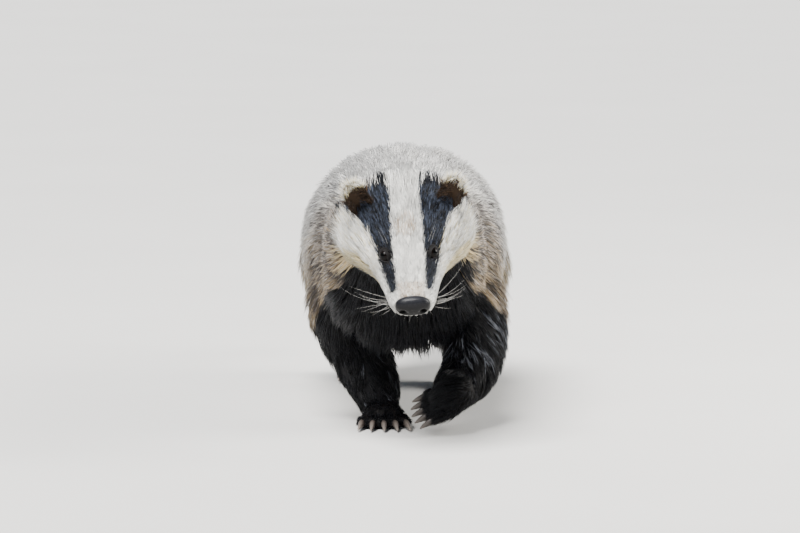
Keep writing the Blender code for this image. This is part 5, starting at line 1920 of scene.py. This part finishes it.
# share of the opening's size, height over the ball
LID_PROFILE = (
    (0.92, -0.0006), (0.98, 0.0001), (1.03, 0.0005), (1.10, 0.0007), (1.20, 0.0006),
    (1.32, 0.0002), (1.50, -0.0010), (1.70, -0.0032),
)
LID_COLOUR = np.array([0.0085, 0.0075, 0.0075])
# painted highlight: the lid edge is painted paler grey, most on the lower lid, for the light on its wet rim
LID_RIM_HIGHLIGHT = np.array([0.062, 0.060, 0.063])


def lid_ring(hand):
    """Points, faces and colours of the lids round one eye."""
    look, long_way, cross_way = eye_axes(hand)
    centre = on_head(mirrored(EYE_CENTRE, hand))[0]
    turn = np.linspace(0, 2 * np.pi, LID_AROUND, endpoint=False)
    corner = np.exp(-((np.angle(np.exp(1j * turn)) / 0.30) ** 2))
    lower = np.clip(np.sin(turn) * hand * 2.0, 0, 1)
    rows, tints = [], []
    for size, height in LID_PROFILE:
        a = np.cos(turn) * OPENING[0] * size * (1 + 0.20 * corner * (size < 1.3))
        b = np.sin(turn) * OPENING[1] * size * (1 - 0.28 * corner)
        radial = np.hypot(a, b)
        ball = np.sqrt(np.maximum((EYE_RADIUS * 1.02) ** 2 - radial**2, 0))
        out = np.maximum(ball, 0.0030 - 0.25 * np.maximum(radial - EYE_RADIUS, 0)) + height
        rows.append(centre + np.outer(a, long_way) + np.outer(b, cross_way) + np.outer(out, look))
        # painted highlight on the wet lid edge, strongest on the lower lid
        rim = (0.15 + 0.85 * lower) * np.exp(-(((size - 1.05) / 0.08) ** 2))
        tints.append(LID_COLOUR + rim[:, None] * (LID_RIM_HIGHLIGHT - LID_COLOUR))
    rings = np.array(rows + [row - look * 0.0024 for row in rows[::-1]])
    faces = []
    for i in range(len(rings)):
        m = (i + 1) % len(rings)
        for k in range(LID_AROUND):
            n = (k + 1) % LID_AROUND
            faces.append(tuple(ring * LID_AROUND + at for ring, at in ((i, k), (i, n), (m, n), (m, k))))
    return rings.reshape(-1, 3), faces, np.concatenate(tints + tints[::-1])


# %% Dress and place the lids
lid_finish, tree_nodes, shader = new_material("lid_skin", 0.62, 0.12)
creases = add_node(tree_nodes, "ShaderNodeTexNoise", Scale=900.0, Detail=4.0)
colour_by_tone(tree_nodes, shader, ramp(tree_nodes, creases.outputs["Fac"], ((0.3, 0.6), (0.7, 1.0))))
add_bump(tree_nodes, shader, creases.outputs["Fac"], 0.5, 0.0003)
for hand, name in ((1, "L"), (-1, "R")):
    ring_points, ring_faces, ring_colours = lid_ring(hand)
    lids = finished_piece("lids_" + name, ring_points, ring_faces, lid_finish, [])
    set_colours(lids.data, "pelt", ring_colours)
print("lids:", LID_AROUND, "points round each eye")

# %% [markdown]
# ## Nose pad
# The pad is broad and blunt, almost black below, with a fine pebbled grain and a
# dull wet gloss. Its top is painted dark bluish grey as a painted highlight on the
# wet pad. The nostrils are comma shaped and run out to its sides. Cutting holes
# would leave sharp rims, so we push a rounded block in where they are.

# %% Shape of the nose pad
NOSTRIL, NOSTRIL_END = (0.0098, -0.0062, -0.0030), (0.0138, -0.004, -0.0052)
NOSTRIL_DEPTH, SLIT_DEPTH, GROOVE_DEPTH = 0.0052, 0.0022, 0.0007

pad_points, pad_faces = ball_shape(128, 96)
squared = np.sign(pad_points) * np.abs(pad_points) ** 0.86
pad = squared / np.abs(squared).max(axis=0) * PAD_HALF
for hand in (1, -1):
    away = pad - mirrored(NOSTRIL, hand)
    hole = np.exp(-((away[:, 0] / 0.0030) ** 2 + (away[:, 2] / 0.0022) ** 2)) * (pad[:, 1] < 0.0)
    pad[:, 1] += NOSTRIL_DEPTH * hole
    away = pad - mirrored(NOSTRIL_END, hand)
    off_line = (away[:, 2] + 0.25 * hand * away[:, 0]) / 0.0008
    slit = np.exp(-(off_line**2 + (away[:, 0] / 0.0030) ** 2)) * (pad[:, 1] < 0.0)
    pad[:, 1] += SLIT_DEPTH * slit
groove_line = np.exp(-((pad[:, 0] / 0.0007) ** 2)) * (pad[:, 2] < 0.001) * (pad[:, 1] < 0)
pad[:, 1] += GROOVE_DEPTH * groove_line
print("nose pad", (2000 * PAD_HALF).round(1), "mm")

# %% Finish of the nose pad
# painted highlight: the colour on top is lighter and bluish, for the light on the wet pad
PAD_BELOW, PAD_TOP_HIGHLIGHT = np.array([0.0018, 0.0015, 0.0016]), np.array([0.0320, 0.0325, 0.0400])
pad_finish, tree_nodes, shader = new_material("nose_pad", 0.30, 0.11)
shader.inputs["Coat Weight"].default_value = 0.08
shader.inputs["Coat Roughness"].default_value = 0.25
pebbles = add_node(tree_nodes, "ShaderNodeTexVoronoi", Scale=1100.0)
colour_by_tone(tree_nodes, shader, ramp(tree_nodes, pebbles.outputs["Distance"], ((0.0, 1.0), (0.5, 0.45))))
add_bump(tree_nodes, shader, pebbles.outputs["Distance"], 0.5, -0.0003)
piece = finished_piece("nose_pad", on_head(pad + PAD_CENTRE), pad_faces, pad_finish, ["nose"])
# painted highlight: the pad is painted lighter and bluish towards its top
upper = np.clip(pad[:, 2:] / PAD_HALF[2] * 0.5 + 0.5, 0, 1) ** 1.5
set_colours(piece.data, "pelt", PAD_BELOW * (1 - upper) + PAD_TOP_HIGHLIGHT * upper**2)
print("finish on the nose pad:", pad_finish.name)

# %% [markdown]
# ## Claws
# The forefeet carry long pale claws for digging and the hind feet short ones. Each
# is a curved horn, flatter underneath, darker at its root, with fine streaks that
# run along it. In the photo the lifted paw's claws look shorter and lie in shade,
# so we make them shorter and darker.

# %% Finish and rings of a claw
CLAW_ROOT_COLOUR, CLAW_TIP_COLOUR = np.array([0.075, 0.058, 0.050]), np.array([0.27, 0.23, 0.20])
CLAW_POINTS = 14

claw_finish, tree_nodes, shader = new_material("claw_horn", 0.38, 0.5)
grain = add_node(tree_nodes, "ShaderNodeAttribute", attribute_name="grain")
streaks = add_node(tree_nodes, "ShaderNodeTexNoise", Scale=3.5, Detail=4.0)
tree_nodes.links.new(grain.outputs["Vector"], streaks.inputs["Vector"])
colour_by_tone(tree_nodes, shader, ramp(tree_nodes, streaks.outputs["Fac"], ((0.3, 0.65), (0.7, 1.0))))
add_bump(tree_nodes, shader, streaks.outputs["Fac"], 0.3, 0.0003)


def claw_rings(leg, i):
    """Rings of one curved claw and how far along each lies."""
    _, tip, _, way, up = toe_line(leg, i)
    length = FEET[PAWS[leg][3]][6]
    side = unit(np.cross(way, up))
    over = np.cross(side, way)
    rings, alongs = [], []
    for t in np.concatenate([[-0.12], np.linspace(0, 1, 16)]):
        middle = tip + way * (length * t) - over * (length * 0.16 * t * t * np.sign(t))
        fat = 0.0039 * (1 - 0.84 * max(t, 0) ** 1.7)
        rings.append(oval(middle, side, over, fat * 0.80, fat, fat * 0.9, CLAW_POINTS, 2.0, 2.6))
        alongs += [t] * CLAW_POINTS
    return np.array(rings), np.array(alongs + [-0.12, 1.0])


# %% Claws
for leg in LEGS:
    claw_points, claw_faces, tints, grains = [], [], [], []
    for i in range(TOES):
        rings, alongs = claw_rings(leg, i)
        start = sum(len(p) for p in claw_points)
        tube_points, tube_faces = tube_shape(rings)
        claw_points.append(tube_points)
        claw_faces += [tuple(start + n for n in face) for face in tube_faces]
        round_once = np.linspace(0, 2 * np.pi, CLAW_POINTS, endpoint=False)
        turn = np.append(np.tile(round_once, len(rings)), (0, 0))
        grains.append(np.stack([np.cos(turn) + i, np.sin(turn), alongs * 0.25], axis=1))
        mix = np.clip(alongs, 0, 1)[:, None]
        tints.append(CLAW_ROOT_COLOUR * (1 - mix) + CLAW_TIP_COLOUR * mix)
        if PAWS[leg][3] == "lifted":
            tints[-1] *= 0.5
    nodes = [f"claw_{leg.replace('leg', '')}_{i + 1}" for i in range(TOES)]
    claw_points = np.concatenate(claw_points)
    piece = finished_piece("claws_" + leg, claw_points, claw_faces, claw_finish, nodes)
    set_colours(piece.data, "pelt", np.concatenate(tints))
    layer = piece.data.attributes.new("grain", "FLOAT_VECTOR", "POINT")
    layer.data.foreach_set("vector", np.concatenate(grains).astype(np.float32).ravel())
print("claws on", len(LEGS), "paws")

# %% [markdown]
# ## Whiskers
# Nine long pale bristles stand on each side of the muzzle and sweep out and back.
# Four short ones a side stand under the nose, and two above each eye. Each is a
# thin tapered tube with four sides. It has its own small random turn and length.

# %% Finish and rings of a whisker
whisker_finish, tree_nodes, shader = new_material("whisker", 0.4, 0.5)
sheen_noise = add_node(tree_nodes, "ShaderNodeTexNoise", Scale=500.0, Detail=2.0)
tree_nodes.links.new(
    mix_colours(tree_nodes, sheen_noise.outputs["Fac"], (0.58, 0.56, 0.52), (0.80, 0.79, 0.76)),
    shader.inputs["Base Color"],
)


def whisker(start, way, fall, length, radius, steps=12):
    """Rings of one bristle that leaves along way and bends by fall."""
    t = np.linspace(0, 1, steps)[:, None]
    line = start + way * (length * t) + fall * (length * t**2)
    tangent = unit(np.gradient(line, axis=0))
    side = unit(np.cross(tangent, [0.1, 0.2, 1.0]))
    over = np.cross(side, tangent)
    thick = radius * (1 - 0.85 * t)
    rows = zip(line, side, over, thick)
    return [np.array([c + s * w[0], c + o * w[0], c - s * w[0], c - o * w[0]]) for c, s, o, w in rows]


# %% Whiskers
whisker_points, whisker_faces = [], []


def add_whisker(start, way, fall, length, radius, steps=12):
    """Keeps one bristle, given in the head's own axes."""
    rings = whisker(on_head(start)[0], HEAD_AXES @ way, HEAD_AXES @ fall, length, radius, steps)
    tube_points, tube_faces = tube_shape(rings)
    first = sum(len(p) for p in whisker_points)
    whisker_points.append(tube_points)
    whisker_faces.extend(tuple(first + n for n in face) for face in tube_faces)


for hand in (1, -1):
    for row in range(3):
        for column in range(3):
            back = 0.014 + 0.0055 * column + 0.001 * row
            height = -0.0015 - 0.0040 * row
            half_width = np.interp(back, HEAD[:, 0], HEAD[:, 2])
            start = np.array([hand * (half_width - 0.0015), back, height + HEAD[2, 1]])
            length = (0.028 + 0.011 * column - 0.006 * row) * rng.uniform(0.75, 1.25)
            sweep = 0.15 + 0.20 * column + rng.normal(0, 0.12)
            droop = -0.05 - 0.34 * row + rng.normal(0, 0.14)
            way = unit(np.array([hand * 1.0, sweep, droop]))
            fall = np.array([0, 0.34 + rng.normal(0, 0.16), -0.02 + rng.normal(0, 0.22)])
            add_whisker(start, way, fall, length, 0.00010)
    for k in range(4):
        start = np.array([hand * (0.003 + 0.0040 * k), 0.010 + 0.0012 * k, -0.0150 + 0.0012 * k])
        way = unit(np.array([hand * (0.15 + 0.16 * k), -0.45, -1.0 + rng.normal(0, 0.15)]))
        add_whisker(start, way, np.array([0, 0.25, -0.1]), rng.uniform(0.005, 0.010), 0.00006, 7)
    for k in range(2):
        start = np.array([hand * (0.0200 + 0.0035 * k), 0.0680 + 0.002 * k, 0.0275])
        way = unit(np.array([hand * 0.35, 0.35, 1.0 + rng.normal(0, 0.1)]))
        fall = np.array([0.1 * hand, 0.4, -0.2])
        add_whisker(start, way, fall, rng.uniform(0.012, 0.020), 0.00007, 9)
line_points = np.concatenate(whisker_points)
finished_piece("whiskers", line_points, whisker_faces, whisker_finish, [])
print("whiskers:", len(whisker_points))

# %% Measure and finish
low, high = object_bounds()
print("visual box", [round(v, 4) for v in low], [round(v, 4) for v in high])
